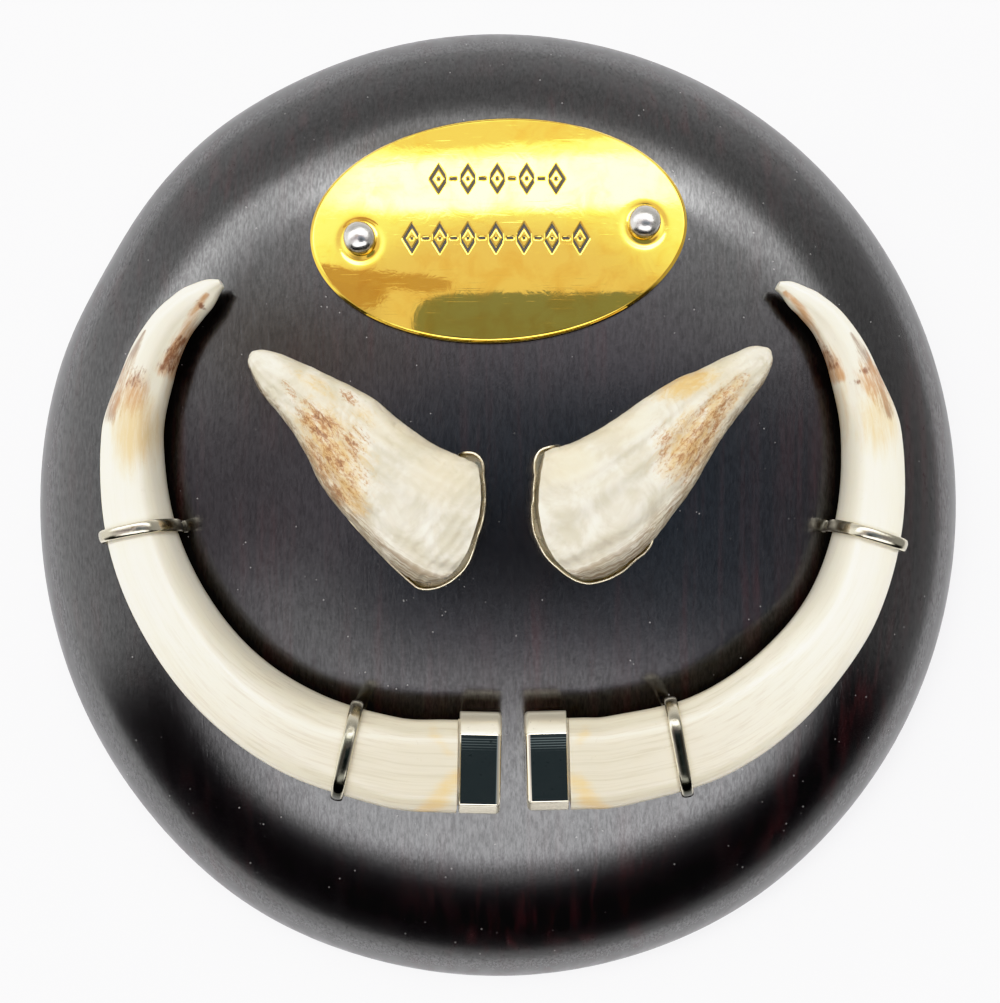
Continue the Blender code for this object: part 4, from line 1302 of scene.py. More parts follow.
@dataclass
class GrinderCup:
    """The thin sheet-metal cup that a grinder's root stands in."""

    side: Side
    # Rows of (x, y, wall height) in mm
    line: tuple
    wall: float = 0.5 * MM
    clearance: float = 0.42 * MM
    rim_round: float = 0.14 * MM
    wave_height: float = 0.10 * MM
    rim_wave: float = 0.12 * MM
    lip: float = 1.2
    standing: float = 1.8
    around: int = 360

    @staticmethod
    def keep_clear(places: Array, outline: Array, gap: float) -> Array:
        """Move the points that are inside a closed line, or within a gap of it, out to the gap.

        Args:
            places: The points to move.
            outline: The closed line.
            gap: How far from it they end.

        Returns:
            The moved points.
        """
        runs = np.roll(outline, -1, axis=0) - outline
        square = np.maximum((runs ** 2).sum(axis=1), 1e-18)
        away = places[:, None] - outline[None]
        share = np.clip((away * runs).sum(axis=-1) / square, 0.0, 1.0)
        feet = outline + runs * share[..., None]
        gaps = np.linalg.norm(places[:, None] - feet, axis=-1)
        nearest = np.argmin(gaps, axis=1)
        rows = np.arange(len(places))
        foot, reach = feet[rows, nearest], gaps[rows, nearest]
        x, y = places[:, :1], places[:, 1:]
        above = outline[:, 1] > y
        crossed = above != np.roll(above, -1, axis=1)
        rise = np.where(np.abs(runs[:, 1]) > 1e-12, runs[:, 1], 1e-12)
        across = outline[:, 0] + (y - outline[:, 1]) / rise * runs[:, 0]
        inside = (crossed & (across > x)).sum(axis=1) % 2 == 1
        way = (places - foot) / np.maximum(reach, 1e-9)[:, None]
        way = np.where(inside[:, None], -way, way)
        return np.where((inside | (reach < gap))[:, None], foot + way * gap, places)

    def rings(self, tooth: Array) -> Array:
        """Offset the line inwards by the wall, and join foot, rim and floor by rings.

        Args:
            tooth: The closed outline of the tooth that stands in the cup.

        Returns:
            The rings, from the underside over the rim to the floor inside.
        """
        rows = catmull_rom(self.line, self.around, closed=True)
        outer, height = rows[:, :2] * MM, np.maximum(rows[:, 2], self.lip) * MM
        cleared = self.keep_clear(outer, tooth, self.wall + self.clearance)
        outer = np.where((height > self.standing * MM)[:, None], cleared, outer)
        noise = Relief(31 if self.side is Side.LEFT else 32)
        spots = np.concatenate([outer, np.zeros((self.around, 1))], axis=1)
        ahead = unit(np.roll(outer, -1, axis=0) - np.roll(outer, 1, axis=0))
        inward = np.stack([-ahead[:, 1], ahead[:, 0]], axis=1)
        if ((outer.mean(axis=0) - outer) * inward).sum() < 0:
            inward = -inward
        height = height + noise.layers(spots, 420.0, 2, 5.0) * self.rim_wave
        outer = outer + inward * (noise.layers(spots, 260.0, 2) * self.wave_height)[:, None]
        base, floor = FACE_Z + GAP, FACE_Z + GAP + self.wall
        top, slope = base + height, self.rim_round * 0.4
        # How far in from the outer line, and the height
        steps = (
            (0.0, np.full(self.around, base)),
            (0.0, base + height * 0.5),
            (0.0, top - self.rim_round),
            (slope, top - self.rim_round * 0.25),
            (self.wall * 0.5, top),
            (self.wall - slope, top - self.rim_round * 0.25),
            (self.wall, top - self.rim_round),
            (self.wall, floor + (height - self.wall) * 0.4),
            (self.wall, np.full(self.around, floor)),
        )
        rings = [np.concatenate([outer + inward * offset, level[:, None]], axis=1)
                 for offset, level in steps]
        middle = outer.mean(axis=0)
        under = (rings[0] + [*middle, base]) * 0.5
        inner = (rings[-1] + [*middle, floor]) * 0.5
        return np.stack([under, *rings, inner])

    def build(self, tooth: Array, material: Material) -> None:
        """Make the cup's mesh round a tooth's outline and dress it."""
        Skin(self.rings(tooth), {}).dress(self.side.word + "_grinder_cup", material, Slot.CUP, 60.0)


@dataclass
class WireLoop:
    """A loop of flattened wire, up from one hole, over its tusk and down into the other."""

    name: str
    side: Side
    x: float
    y: float
    plan_angle: float
    lean: float
    half_width: float = 1.35 * MM
    taper: float = 0.14
    half_thickness: float = 0.55 * MM
    clearance: float = 0.42 * MM
    leg_depth: float = 5.0 * MM
    leg_start: float = 1.0 * MM
    lean_level: float = 8.0 * MM
    flatness: float = 0.9
    smoothing: int = 11
    # Where along the wire and how far round its upper side a dark reflection is painted, and how dark
    dark_run: tuple = (0.30, 0.74)
    dark_fades: tuple = (0.12, 0.08)
    dark_edge: tuple = (0.45, 0.85)
    dark: float = 0.40
    around: int = 24
    along: int = 140

    @staticmethod
    def section(rings: Array, place: Array, ahead: Array) -> Array:
        """Cut the tusk with the upright plane through the place and along the heading.

        Each line of the tusk's grid is cut where it crosses the plane nearest to the place.

        Args:
            rings: The tusk's rings.
            place: The crossing's middle, X and Y.
            ahead: The plane's direction, X and Y.

        Returns:
            The section's outline as rows of (along the heading, height).
        """
        away = (rings[..., :2] - place) @ np.array([-ahead[1], ahead[0]])
        crossing = away[:-1] * away[1:] <= 0
        reach = np.linalg.norm((rings[:-1, :, :2] + rings[1:, :, :2]) / 2 - place, axis=-1)
        ring = np.argmin(np.where(crossing, reach, np.inf), axis=0)
        line = np.arange(rings.shape[1])
        first, last = away[ring, line], away[ring + 1, line]
        share = (first / (first - last))[:, None]
        point = rings[ring, line] * (1 - share) + rings[ring + 1, line] * share
        return np.stack([(point[:, :2] - place) @ ahead, point[:, 2]], axis=1)

    def path(self, rings: Array) -> tuple[Array, Array]:
        """Push the tusk's section out by half the wire and a clearance, and add the legs.

        Args:
            rings: The rings of the tusk that the loop holds.

        Returns:
            The wire's centre line, and its sideways direction.
        """
        ahead = heading(self.plan_angle)
        aside = np.array([-ahead[1], ahead[0]])
        place = np.array([self.x, self.y]) * MM
        outline = self.section(rings, place, ahead)
        sides = np.roll(outline, -1, axis=0) - np.roll(outline, 1, axis=0)
        normals = unit(np.stack([-sides[:, 1], sides[:, 0]], axis=1))
        if ((outline - outline.mean(axis=0)) * normals).sum() < 0:
            normals = -normals
        pushed = outline + normals * (self.half_thickness + self.clearance)
        pushed = np.roll(pushed, -np.argmin(pushed[:, 1]), axis=0)
        kept = pushed[pushed[:, 1] > FACE_Z + self.leg_start]
        foot = FACE_Z - self.leg_depth
        line = even_samples(np.vstack([[kept[0, 0], foot], kept, [kept[-1, 0], foot]]), self.along)
        kernel = np.hanning(self.smoothing) / np.hanning(self.smoothing).sum()
        half = self.smoothing // 2
        padded = np.pad(line, ((half, half), (0, 0)), mode="reflect", reflect_type="odd")
        line = np.stack([np.convolve(column, kernel, "valid") for column in padded.T], axis=1)
        shift = np.maximum(line[:, 1] - FACE_Z, self.leg_start) - self.lean_level
        lean = aside * math.tan(math.radians(self.lean))
        plan = place + ahead * line[:, :1] + lean * shift[:, None]
        return np.concatenate([plan, line[:, 1:]], axis=1), np.array([*aside, 0.0])

    def build(self, rings: Array, material: Material) -> None:
        """Carry a flattened round section along the path, mark the painted dark reflection on its top and
        dress it.

        Args:
            rings: The rings of the tusk that the loop holds.
            material: The wire's metal.
        """
        path, across = self.path(rings)
        rise = unit(np.cross(np.gradient(path, axis=0), across))
        turn = circle(self.around)
        thick = signed_power(np.cos(turn), self.flatness) * self.half_thickness
        wide = signed_power(np.sin(turn), self.flatness) * self.half_width
        widths = np.linspace(1.0 + self.taper, 1.0 - self.taper, len(path))[:, None, None]
        tube = path[:, None] + thick[None, :, None] * rise[:, None] + wide[None, :, None] * across * widths
        share = np.linspace(0.0, 1.0, len(path))[:, None]
        # The painted dark reflection: the wire's upper side, along the middle of its run
        (first, last), (start, end) = self.dark_run, self.dark_fades
        run = smooth_step(share, first, first + start) * (1 - smooth_step(share, last - end, last))
        upward = np.cos(turn) * np.sign(rise[len(path) // 2, 2])
        painted_reflection_mark = self.dark * run * smooth_step(upward, *self.dark_edge)[None]
        Skin(tube, {"painted_reflection_mark": painted_reflection_mark}).dress(self.name, material, Slot.WIRE)


@dataclass
class EndCap:
    """A nickel-silver sleeve shaped to a tusk's root, closed at the plaque's middle."""

    side: Side
    centre: tuple
    turn: float
    width_share: float
    width: float = 20.1
    height: float = 15.4
    length: float = 9.6
    wall: float = 0.6
    lip: float = 0.12
    end_round: float = 1.0
    mouth_slant: float = 1.2
    run_step: float = 0.1
    ripple: float = 0.0028
    ripple_pitch: float = 0.52
    ripple_level: float = 12.0
    bevel_satin: float = 0.8
    # Arcs of the section: middle (across, up), radius in mm, first and last angle, points
    arcs: tuple = (
        (-4.2, 1.5, 1.5, 215.0, 270.0, 8),
        (8.55, 1.5, 1.5, 270.0, 360.0, 8),
        (8.55, 11.3, 1.5, 0.0, 45.0, 8),
        (6.5, 14.83, 0.5, 45.0, 98.8, 10),
        (-6.95, 12.85, 0.45, 98.8, 123.0, 6),
        (-4.05, 8.1, 6.0, 121.0, 215.0, 30),
    )

    def ring(self) -> tuple[Array, Array]:
        """Join the arcs by runs of even points into one closed line, rippled near its ridge.

        Returns:
            The line's places across, and up.
        """
        parts = []
        for middle, level, radius, first, last, count in self.arcs:
            angle = np.radians(np.linspace(first, last, count))
            arc = [middle + radius * np.cos(angle), level + radius * np.sin(angle)]
            parts.append(np.stack(arc, axis=1))
        line = []
        for part, following in zip(parts, parts[1:] + parts[:1]):
            count = max(2, int(np.linalg.norm(following[0] - part[-1]) / self.run_step))
            line += [part, np.linspace(part[-1], following[0], count + 1)[1:-1]]
        across, up = np.concatenate(line).T
        upper = smooth_step(across, -6.7, -6.2) * (1 - smooth_step(across, -4.6, -2.6))
        wave = np.sin(across * 2 * math.pi / self.ripple_pitch)
        return across, up + self.ripple * upper * (up > self.ripple_level) * wave

    def rings(self) -> tuple[Array, Array]:
        """Scale the section along the sleeve: inside, round the mouth, outside, round the end.

        Returns:
            The rings in metres, and the satin mark, which is 1 on the flank and less on the bevel.
        """
        across, up = self.ring()
        half, wall, lip, turned = self.length / 2, self.wall, self.lip, self.end_round
        # Place along the axis, how far in from the outer skin, share of the mouth's slant
        stops = [(half - wall, wall + 6.0, 0.0), (half - wall, wall + 1.0, 0.0),
                 (half - wall - 1.0, wall, 0.0), (0.0, wall, 0.5), (-half + lip, wall, 1.0),
                 (-half, wall - lip, 1.0), (-half, lip, 1.0), (-half + lip, 0.0, 1.0),
                 (-1.5, 0.0, 0.7), (1.5, 0.0, 0.3)]
        stops += [(half - turned * (1 - math.sin(angle)), turned * (1 - math.cos(angle)), 0.0)
                  for angle in np.linspace(0.0, math.pi / 2, 9)]
        stops += [(half + 0.05, turned + 2.0, 0.0), (half + 0.05, turned + 5.0, 0.0)]
        along, inset, slant = np.array(stops).T[..., None]
        wide = across * (1 - 2 * inset / self.width) * self.width_share
        tall = self.height / 2 + (up - self.height / 2) * (1 - 2 * inset / self.height)
        lean = self.mouth_slant * slant * up / self.height
        x, y = on_plan(self.centre, self.turn, along + lean, -self.side.outward * wide)
        rings = np.stack([x, y, (FACE_Z + GAP) / MM + tall], axis=-1) * MM
        bevel = self.bevel_satin * smooth_step(across, 6.9, 7.2) * smooth_step(up, 9.0, 11.0)
        return rings, np.broadcast_to(smooth_step(-across, 7.1, 7.5) + bevel, x.shape)

    def build(self, material: Material) -> None:
        """Make the sleeve's mesh and dress it."""
        rings, satin = self.rings()
        Skin(rings, {"satin": satin}).dress(self.side.word + "_end_cap", material, Slot.SILVER, 35.0)


@dataclass
class NamePlate:
    """The domed oval of brass, stamped with two rows of plain lozenges and dashes."""

    centre: tuple = (0.2, 62.3)
    half_length: float = 42.7
    half_height: float = 25.3
    turn: float = 3.4
    thickness: float = 1.0
    crown: float = 1.3
    bevel: float = 0.4
    bevel_slope: float = 0.8
    across: int = 380
    down: int = 220
    nails: tuple = ((-31.0, 59.9), (32.9, 63.5))
    # The ring round each nail: its shift from the nail, radius, spread and depth
    dimple_shift: tuple = (0.1, -0.4)
    dimple_radius: float = 4.4
    dimple_spread: float = 0.8
    dimple_depth: float = 0.14
    stamp_depth: float = 0.16
    # Each row of stamps: its middle's x and y, distance between marks, marks, half width, height
    stamp_rows: tuple = ((-0.1, 73.4, 3.3, 9, 1.8, 2.9), (-0.4, 60.0, 3.15, 13, 1.75, 2.9))
    # Where each line of a stamp starts to fade and ends: a lozenge's outline, its dot, a dash
    outline_fade: tuple = (0.22, 0.46)
    dot_fade: tuple = (0.25, 0.50)
    dash_fade: tuple = (0.22, 0.44)
    dash_half: float = 0.55
    # The square grid's shares along and down, and the oval's places there: denser at the stamps
    grid_across: tuple = ((0, 0.16, 0.84, 1), (-1, -0.54, 0.54, 1))
    grid_down: tuple = ((0, 0.2, 0.86, 1), (-1, -0.3, 0.66, 1))

    def level(self, share: Array) -> Array:
        """Height of the upper face over the wood, in mm, at a share of the radius."""
        return GAP / MM + self.thickness + self.crown * (1 - share ** 2)

    def stamps(self, x: Array, y: Array) -> Array:
        """How deep each point lies in a stamped mark, from 0 to 1.

        A lozenge's outline is where |x| / half width + |y| / half height is near 1. Every
        other mark is a short dash.

        Args:
            x: Places across the plaque in mm.
            y: Places up the plaque in mm.

        Returns:
            The depth's share at each point.
        """
        depth = np.zeros(x.shape)
        for middle, level, pitch, count, half_width, half_height in self.stamp_rows:
            first = middle - pitch * (count - 1) / 2
            number = np.clip(np.round((x - first) / pitch), 0, count - 1)
            dx, dy = x - first - number * pitch, y - level
            tall = np.abs(dx) / half_width + np.abs(dy) / half_height
            outline = 1 - smooth_step(np.abs(tall - 1.0) * half_width * 0.85, *self.outline_fade)
            dot = 1 - smooth_step(np.hypot(dx, dy), *self.dot_fade)
            beyond = np.maximum(np.abs(dx) - self.dash_half, 0.0)
            dash = 1 - smooth_step(np.hypot(beyond, dy), *self.dash_fade)
            mark = np.where(number % 2 == 0, np.maximum(outline, dot), dash)
            depth = np.maximum(depth, mark)
        return depth

    def top(self) -> tuple[Array, Array]:
        """Map a square grid on the oval and sink the stamps and the rings round the nails.

        The square's point (u, v) goes to u times the root of 1 - v squared / 2, and so for v.

        Returns:
            The grid's points in metres, and how deep each lies in a stamp.
        """
        u = np.interp(np.linspace(0.0, 1.0, self.across), *self.grid_across)[:, None]
        v = np.interp(np.linspace(0.0, 1.0, self.down), *self.grid_down)[None, :]
        x, y = u * np.sqrt(1 - v ** 2 / 2), v * np.sqrt(1 - u ** 2 / 2)
        share = np.sqrt(x ** 2 + y ** 2)
        edge = np.clip((share - 1) * self.half_height + self.bevel, 0.0, self.bevel)
        place_x, place_y = on_plan(self.centre, self.turn, x * self.half_length, y * self.half_height)
        stamped = self.stamps(place_x, place_y)
        dimple = np.zeros(x.shape)
        for nail_x, nail_y in self.nails:
            reach = np.hypot(place_x - nail_x - self.dimple_shift[0],
                             place_y - nail_y - self.dimple_shift[1])
            ring = np.exp(-((reach - self.dimple_radius) / self.dimple_spread) ** 2)
            dimple += ring * self.dimple_depth
        up = self.level(share) - edge * self.bevel_slope - stamped * self.stamp_depth - dimple
        return np.stack([place_x, place_y, FACE_Z / MM + up], axis=-1) * MM, stamped

    def build(self, material: Material) -> None:
        """Close the upper face by a side wall and a fan below, and dress the plate.

        Args:
            material: The brass.
        """
        grid, stamped = self.top()
        top = grid.reshape(-1, 3)
        index = np.arange(len(top)).reshape(self.across, self.down)
        corners = [index[:-1, :-1], index[1:, :-1], index[1:, 1:], index[:-1, 1:]]
        quads = np.stack(corners, axis=-1).reshape(-1, 4)
        rim = np.concatenate([index[:, 0], index[-1, 1:], index[-2::-1, -1], index[0, -2:0:-1]])
        lower = top[rim].copy()
        lower[:, 2] = FACE_Z + GAP
        ring = len(top) + np.arange(len(rim))
        after = np.roll(ring, -1)
        sides = np.stack([rim, np.roll(rim, -1), after, ring], axis=-1)
        fan = np.stack([np.full(len(rim), ring[-1] + 1), ring, after], axis=-1)
        under = [self.centre[0] * MM, self.centre[1] * MM, FACE_Z + GAP + self.crown * MM]
        points = np.vstack([top, lower, under])
        ink = np.zeros(len(points))
        ink[:len(top)] = smooth_step(stamped, 0.35, 0.75).ravel()
        faces = quads.tolist() + sides.tolist() + fan.tolist()
        mesh = closed_mesh("name_plate", points, faces, {"ink": ink}, 50.0)
        add_piece("name_plate", mesh, material, Slot.BRASS)


@dataclass
class PlateNail:
    """A dome-headed nail through the name plate."""

    name: str
    x: float
    y: float
    plate: NamePlate
    head_radius: float = 3.7
    head_height: float = 2.6
    rim_height: float = 0.4
    rim_round: float = 0.12
    underside_radius: float = 3.55
    shank_radius: float = 0.9
    shank_depth: float = 8.5
    dent: float = 0.05 * MM
    head_rings: int = 26
    around: int = 72

    def build(self, material: Material) -> None:
        """Turn a quarter ellipse, a short rim and a shank about the nail's axis and dress it.

        Args:
            material: The steel.
        """
        plate = self.plate
        inner = math.hypot((abs(self.x - plate.centre[0]) - self.head_radius) / plate.half_length,
                           (self.y - plate.centre[1]) / plate.half_height)
        seat = float(plate.level(np.array(inner))) + GAP / MM
        turn = np.linspace(0.06, math.pi / 2, self.head_rings)
        foot = -seat - self.shank_depth
        # Radius and height of the rings below the dome
        below = ((self.head_radius, self.rim_round), (self.underside_radius, 0.0),
                 (self.shank_radius, 0.0), (self.shank_radius, foot + self.shank_radius),
                 (self.shank_radius * 0.2, foot))
        dome = self.rim_height + (self.head_height - self.rim_height) * np.cos(turn)
        rows = np.vstack([np.stack([self.head_radius * np.sin(turn), dome], axis=1), below])
        radius, height = rows.T[..., None]
        angle = circle(self.around)
        x = self.x + radius * np.cos(angle)
        y = self.y + radius * np.sin(angle)
        z = np.broadcast_to(FACE_Z / MM + seat + height, x.shape)
        rings = np.stack([x, y, z], axis=-1) * MM
        dents = Relief(41).layers(rings, 500.0, 2) * self.dent
        rings[:self.head_rings, :, 2] += dents[:self.head_rings]
        Skin(rings, {}).dress(self.name, material, Slot.NAIL)


# The studio


@dataclass(frozen=True)
class Card:
    """A soft-edged light or dark card in the sky, in degrees from straight up.

    Its outline is a superellipse about a middle (east, north), turned on the sky.
    """

    middle: tuple
    reach: tuple
    light: float
    tint: tuple = (1.0, 1.0, 1.0)
    turn: float = 0.0
    power: float = 6.0
    soft: float = 0.06

    def cover(self, wires: Wiring, east: Socket, north: Socket) -> Socket:
        """1 on the card and 0 off it, by the p-norm of the place in reaches.

        Args:
            wires: The sky's wiring.
            east: The place's angle towards the east.
            north: Its angle towards the north.

        Returns:
            The card's share of the sky there.
        """
        cos, sin = math.cos(math.radians(self.turn)), math.sin(math.radians(self.turn))
        across = wires.math("SUBTRACT", east, self.middle[0])
        up = wires.math("SUBTRACT", north, self.middle[1])
        along = wires.math("MULTIPLY_ADD", across, cos, wires.times(up, sin))
        aside = wires.math("MULTIPLY_ADD", up, cos, wires.times(across, -sin))
        shares = []
        for value, reach in zip((along, aside), self.reach):
            size = wires.math("ABSOLUTE", wires.math("DIVIDE", value, reach))
            shares.append(wires.math("POWER", size, self.power))
        distance = wires.math("POWER", wires.math("ADD", *shares), 1.0 / self.power)
        return wires.step(distance, 1.0 + self.soft, 1.0 - self.soft)

    def hang(self, wires: Wiring, sky: Socket, east: Socket, north: Socket) -> Socket:
        """Lay the card over the sky that is there."""
        colour = tuple(self.light * part for part in self.tint)
        return wires.mix(self.cover(wires, east, north), sky, colour)


@dataclass
class Studio:
    """Camera, floor, procedural soft lights and the tone curve."""

    camera_place: tuple = (0.5, 0.87, 180.0)
    focus_pixels: float = 680.0
    long_side_pixels: float = 1003.0
    sensor: float = 36.0
    near: float = 0.005
    floor_reach: float = 6.0
    brightness: float = 0.55
    backdrop: float = 0.95
    # The dark zone of the sky beyond the bottom
    dark_zone: tuple = (0.0054, 0.0064, 0.0086)
    white_level: float = 2.0
    tones: tuple = ((0.0045, 0.0028), (0.0075, 0.0080), (0.011, 0.0160), (0.03, 0.058), (0.10, 0.20),
                    (0.25, 0.49), (0.40, 0.75), (0.55, 0.92), (0.75, 0.982))
    # The lamp, the panes of the window, and the smaller light and dark shapes overhead
    cards: tuple = (
        Card((3.8, -24.8), (27.5, 7.6), 9.0, (1.0, 1.0, 1.02), soft=0.42, power=5.0),
        Card((1.5, 29.6), (20.0, 4.6), 20.0, (1.0, 1.0, 1.0), soft=0.25, power=4.0),
        Card((0.0, 39.6), (17.0, 3.6), 2.2, (1.0, 0.90, 0.78), 3.4, 4.0, 0.25),
        Card((-15.0, -11.0), (5.8, 4.0), 3.5, (1.0, 1.0, 1.02), -35.0, 2.2, 0.5),
        Card((-8.4, -7.2), (5.8, 4.4), 0.36, (0.95, 0.95, 1.05), 0.0, 2.6, 0.5),
        Card((-18.0, 12.2), (5.5, 3.0), 1.0, (1.0, 0.68, 0.40), -30.0, 2.6, 0.06),
        Card((-12.4, 13.1), (7.0, 1.5), 1.05, (1.0, 0.70, 0.42), -11.0, 3.0, 0.08),
        Card((6.5, -1.0), (16.5, 11.2), 0.51, (0.64, 0.86, 1.11), -1.5, 7.0, 0.012),
        Card((1.6, -4.6), (8.0, 4.6), 0.060, (0.72, 1.0, 1.35), 0.0, 4.0, 0.30),
    )

    def build(self) -> None:
        """Set up the whole studio."""
        self.add_camera()
        self.add_floor()
        self.light_sky()
        self.set_tones()

    def add_camera(self) -> None:
        """A camera that looks straight down, at the photograph's distance and angle."""
        data = bpy.data.cameras.new("camera")
        data.sensor_width = self.sensor
        data.lens = self.focus_pixels / self.long_side_pixels * self.sensor
        data.clip_start = self.near
        camera = bpy.data.objects.new("camera", data)
        camera.location = tuple(value * MM for value in self.camera_place)
        bpy.context.scene.collection.objects.link(camera)
        bpy.context.scene.camera = camera

    def add_floor(self) -> None:
        """A wide pale floor under the board."""
        mesh = bpy.data.meshes.new("floor")
        corners = [(x * self.floor_reach, y * self.floor_reach, 0.0)
                   for x, y in ((-1, -1), (1, -1), (1, 1), (-1, 1))]
        mesh.from_pydata(corners, [], [(0, 1, 2, 3)])
        mesh.materials.append(PaleFloor().material())
        floor = bpy.data.objects.new("floor", mesh)
        bpy.context.scene.collection.objects.link(floor)

    def light_sky(self) -> None:
        """Paint the lights on the sky by the angle from straight up and the compass angle."""
        world = bpy.data.worlds.new("studio")
        bpy.context.scene.world = world
        world.use_nodes = True
        world.node_tree.nodes.clear()
        wires = Wiring(world.node_tree)
        step, times, ease = wires.step, wires.times, wires.mix_value
        way = wires.add("ShaderNodeTexCoord").outputs["Generated"]
        x, y, z = wires.add("ShaderNodeSeparateXYZ", {0: way}).outputs
        theta = times(wires.math("ARCCOSINE", z), DEGREES)
        azimuth = times(wires.math("ARCTAN2", y, x), DEGREES)
        flat = wires.math("SQRT", wires.math("ADD", times(x, x), times(y, y)))
        unit_angle = wires.math("DIVIDE", theta, wires.math("MAXIMUM", flat, 0.0001))
        east, north = times(x, unit_angle), times(y, unit_angle)
        # The room: dim overhead and to the right, brighter low down and on the left
        dim = ease(step(north, 9.0, 15.0), step(east, 27.0, 14.0, 0.32, 1.0), 1.0)
        west = times(step(east, -12.0, -18.0), step(north, 14.0, 7.0), step(north, -9.0, -4.0))
        dim = times(dim, ease(west, 1.0, 0.46))
        light = times(step(theta, 4.0, 12.0, 1.2, 1.75), dim)
        room = ease(step(y, 0.2, 0.8), step(x, -1.0, 0.6, 2.5, 0.80), 1.05)
        light = ease(step(theta, 30.0, 55.0), light, room)
        low = times(step(theta, 60.0, 76.0), step(y, 0.5, 0.85))
        light = times(light, ease(low, 1.0, 1.5))
        # The window behind the top: it brightens away from the zenith to a firm outer edge
        rise = wires.math("POWER", math.e, step(theta, 20.0, 45.0, 0.55, 2.45, "LINEAR"))
        edge = wires.math("SUBTRACT", theta, step(azimuth, 115.0, 165.0, 0.0, 8.0))
        ends = times(step(azimuth, 14.0, 42.0), step(azimuth, 178.0, 150.0))
        window = times(step(theta, 17.0, 26.0), step(edge, 49.0, 42.0), ends)
        light = ease(window, light, rise)
        # A plum tint overhead, where the window doesn't reach
        plum = times(step(theta, 45.0, 25.0), wires.math("SUBTRACT", 1.0, window))
        parts = {"Red": light, "Green": times(light, ease(plum, 1.0, 0.90)),
                 "Blue": times(light, ease(plum, 1.0, 1.01))}
        sky = wires.add("ShaderNodeCombineColor", parts).outputs[0]
        around = wires.math("ABSOLUTE", wires.math("ADD", azimuth, 90.0))
        dark = times(step(theta, 36.5, 43.0), step(theta, 83.5, 79.5), step(around, 72.0, 61.0))
        sky = wires.mix(dark, sky, self.dark_zone)
        for card in self.cards:
            sky = card.hang(wires, sky, east, north)
        # The camera itself sees a plain white sky
        seen = wires.add("ShaderNodeLightPath").outputs["Is Camera Ray"]
        feeds = {"Color": wires.mix(seen, sky, (1.0, 1.0, 1.0)),
                 "Strength": ease(seen, self.brightness, self.backdrop)}
        background = wires.add("ShaderNodeBackground", feeds)
        wires.add("ShaderNodeOutputWorld", {"Surface": background.outputs[0]})

    def set_tones(self) -> None:
        """Keep dark and middle tones as they are and ease the brightest ones to white."""
        view = bpy.context.scene.view_settings
        view.view_transform = "Standard"
        view.use_curve_mapping = True
        mapping = view.curve_mapping
        mapping.white_level = (self.white_level,) * 3
        mapping.extend = "HORIZONTAL"
        for x, y in self.tones:
            mapping.curves[3].points.new(x, y)
        mapping.update()


# Stations of the lower tusks in mm, tip first: x, y, width, height, lift, share of the root's
# section
LEFT_TUSK_STATIONS = (
    (-61.5, 49.4, 1.8, 2.0, 2.7, 0.0),
    (-63.6, 48.2, 4.4, 3.4, 2.3, 0.0),
    (-65.9, 46.2, 6.5, 4.7, 2.0, 0.0),
    (-68.6, 43.8, 7.6, 5.6, 1.8, 0.0),
    (-72.8, 38.7, 8.7, 6.9, 1.4, 0.0),
    (-76.9, 29.8, 10.0, 8.2, 0.9, 0.0),
    (-80.1, 15.2, 11.2, 9.6, 0.4, 0.0),
    (-78.1, -4.7, 12.6, 10.9, 0.3, 0.0),
    (-70.5, -23.0, 13.7, 12.1, 0.3, 0.0),
    (-58.0, -38.5, 14.8, 13.3, 0.3, 0.05),
    (-41.4, -49.3, 16.6, 14.5, 0.3, 0.25),
    (-22.3, -54.5, 18.2, 15.2, 0.3, 1.0),
    (-10.6, -55.3, 18.8, 15.3, 0.3, 1.0),
)
RIGHT_TUSK_STATIONS = (
    (62.3, 48.9, 1.8, 2.0, 2.7, 0.0),
    (64.5, 48.0, 3.7, 3.2, 2.3, 0.0),
    (66.9, 46.1, 5.3, 4.3, 2.0, 0.0),
    (69.7, 43.9, 6.2, 5.2, 1.8, 0.0),
    (74.1, 39.0, 7.2, 6.4, 1.4, 0.0),
    (78.4, 30.0, 8.9, 7.8, 0.9, 0.0),
    (82.0, 15.4, 10.9, 9.4, 0.4, 0.0),
    (81.1, -4.5, 12.1, 10.6, 0.3, 0.0),
    (74.4, -23.3, 13.2, 11.9, 0.3, 0.1),
    (61.4, -38.3, 15.7, 13.2, 0.3, 0.9),
    (45.0, -49.1, 17.1, 14.4, 0.3, 1.0),
    (25.9, -54.15, 18.3, 15.1, 0.3, 1.0),
    (17.4, -54.75, 18.5, 15.2, 0.3, 1.0),
)
# Stations of the grinders in mm, tip first: upper edge's x and y, lower edge's, height, lift
LEFT_GRINDER_STATIONS = (
    (-53.4, 34.0, -54.6, 32.3, 2.4, 4.2),
    (-51.0, 34.1, -54.5, 30.2, 4.6, 3.4),
    (-46.6, 32.7, -51.6, 24.6, 7.6, 2.6),
    (-40.4, 29.9, -47.0, 19.3, 10.2, 2.2),
    (-33.6, 26.7, -42.0, 12.1, 12.6, 2.0),
    (-27.0, 23.0, -37.2, 3.4, 14.4, 1.9),
    (-20.8, 17.8, -31.2, -3.9, 15.6, 1.9),
    (-14.4, 13.4, -25.3, -10.2, 16.2, 1.9),
    (-9.2, 10.9, -20.3, -14.6, 16.0, 1.9),
    (-6.2, 9.8, -16.8, -16.5, 15.4, 1.9),
    (-4.4, 8.9, -13.8, -16.3, 14.6, 2.0),
)
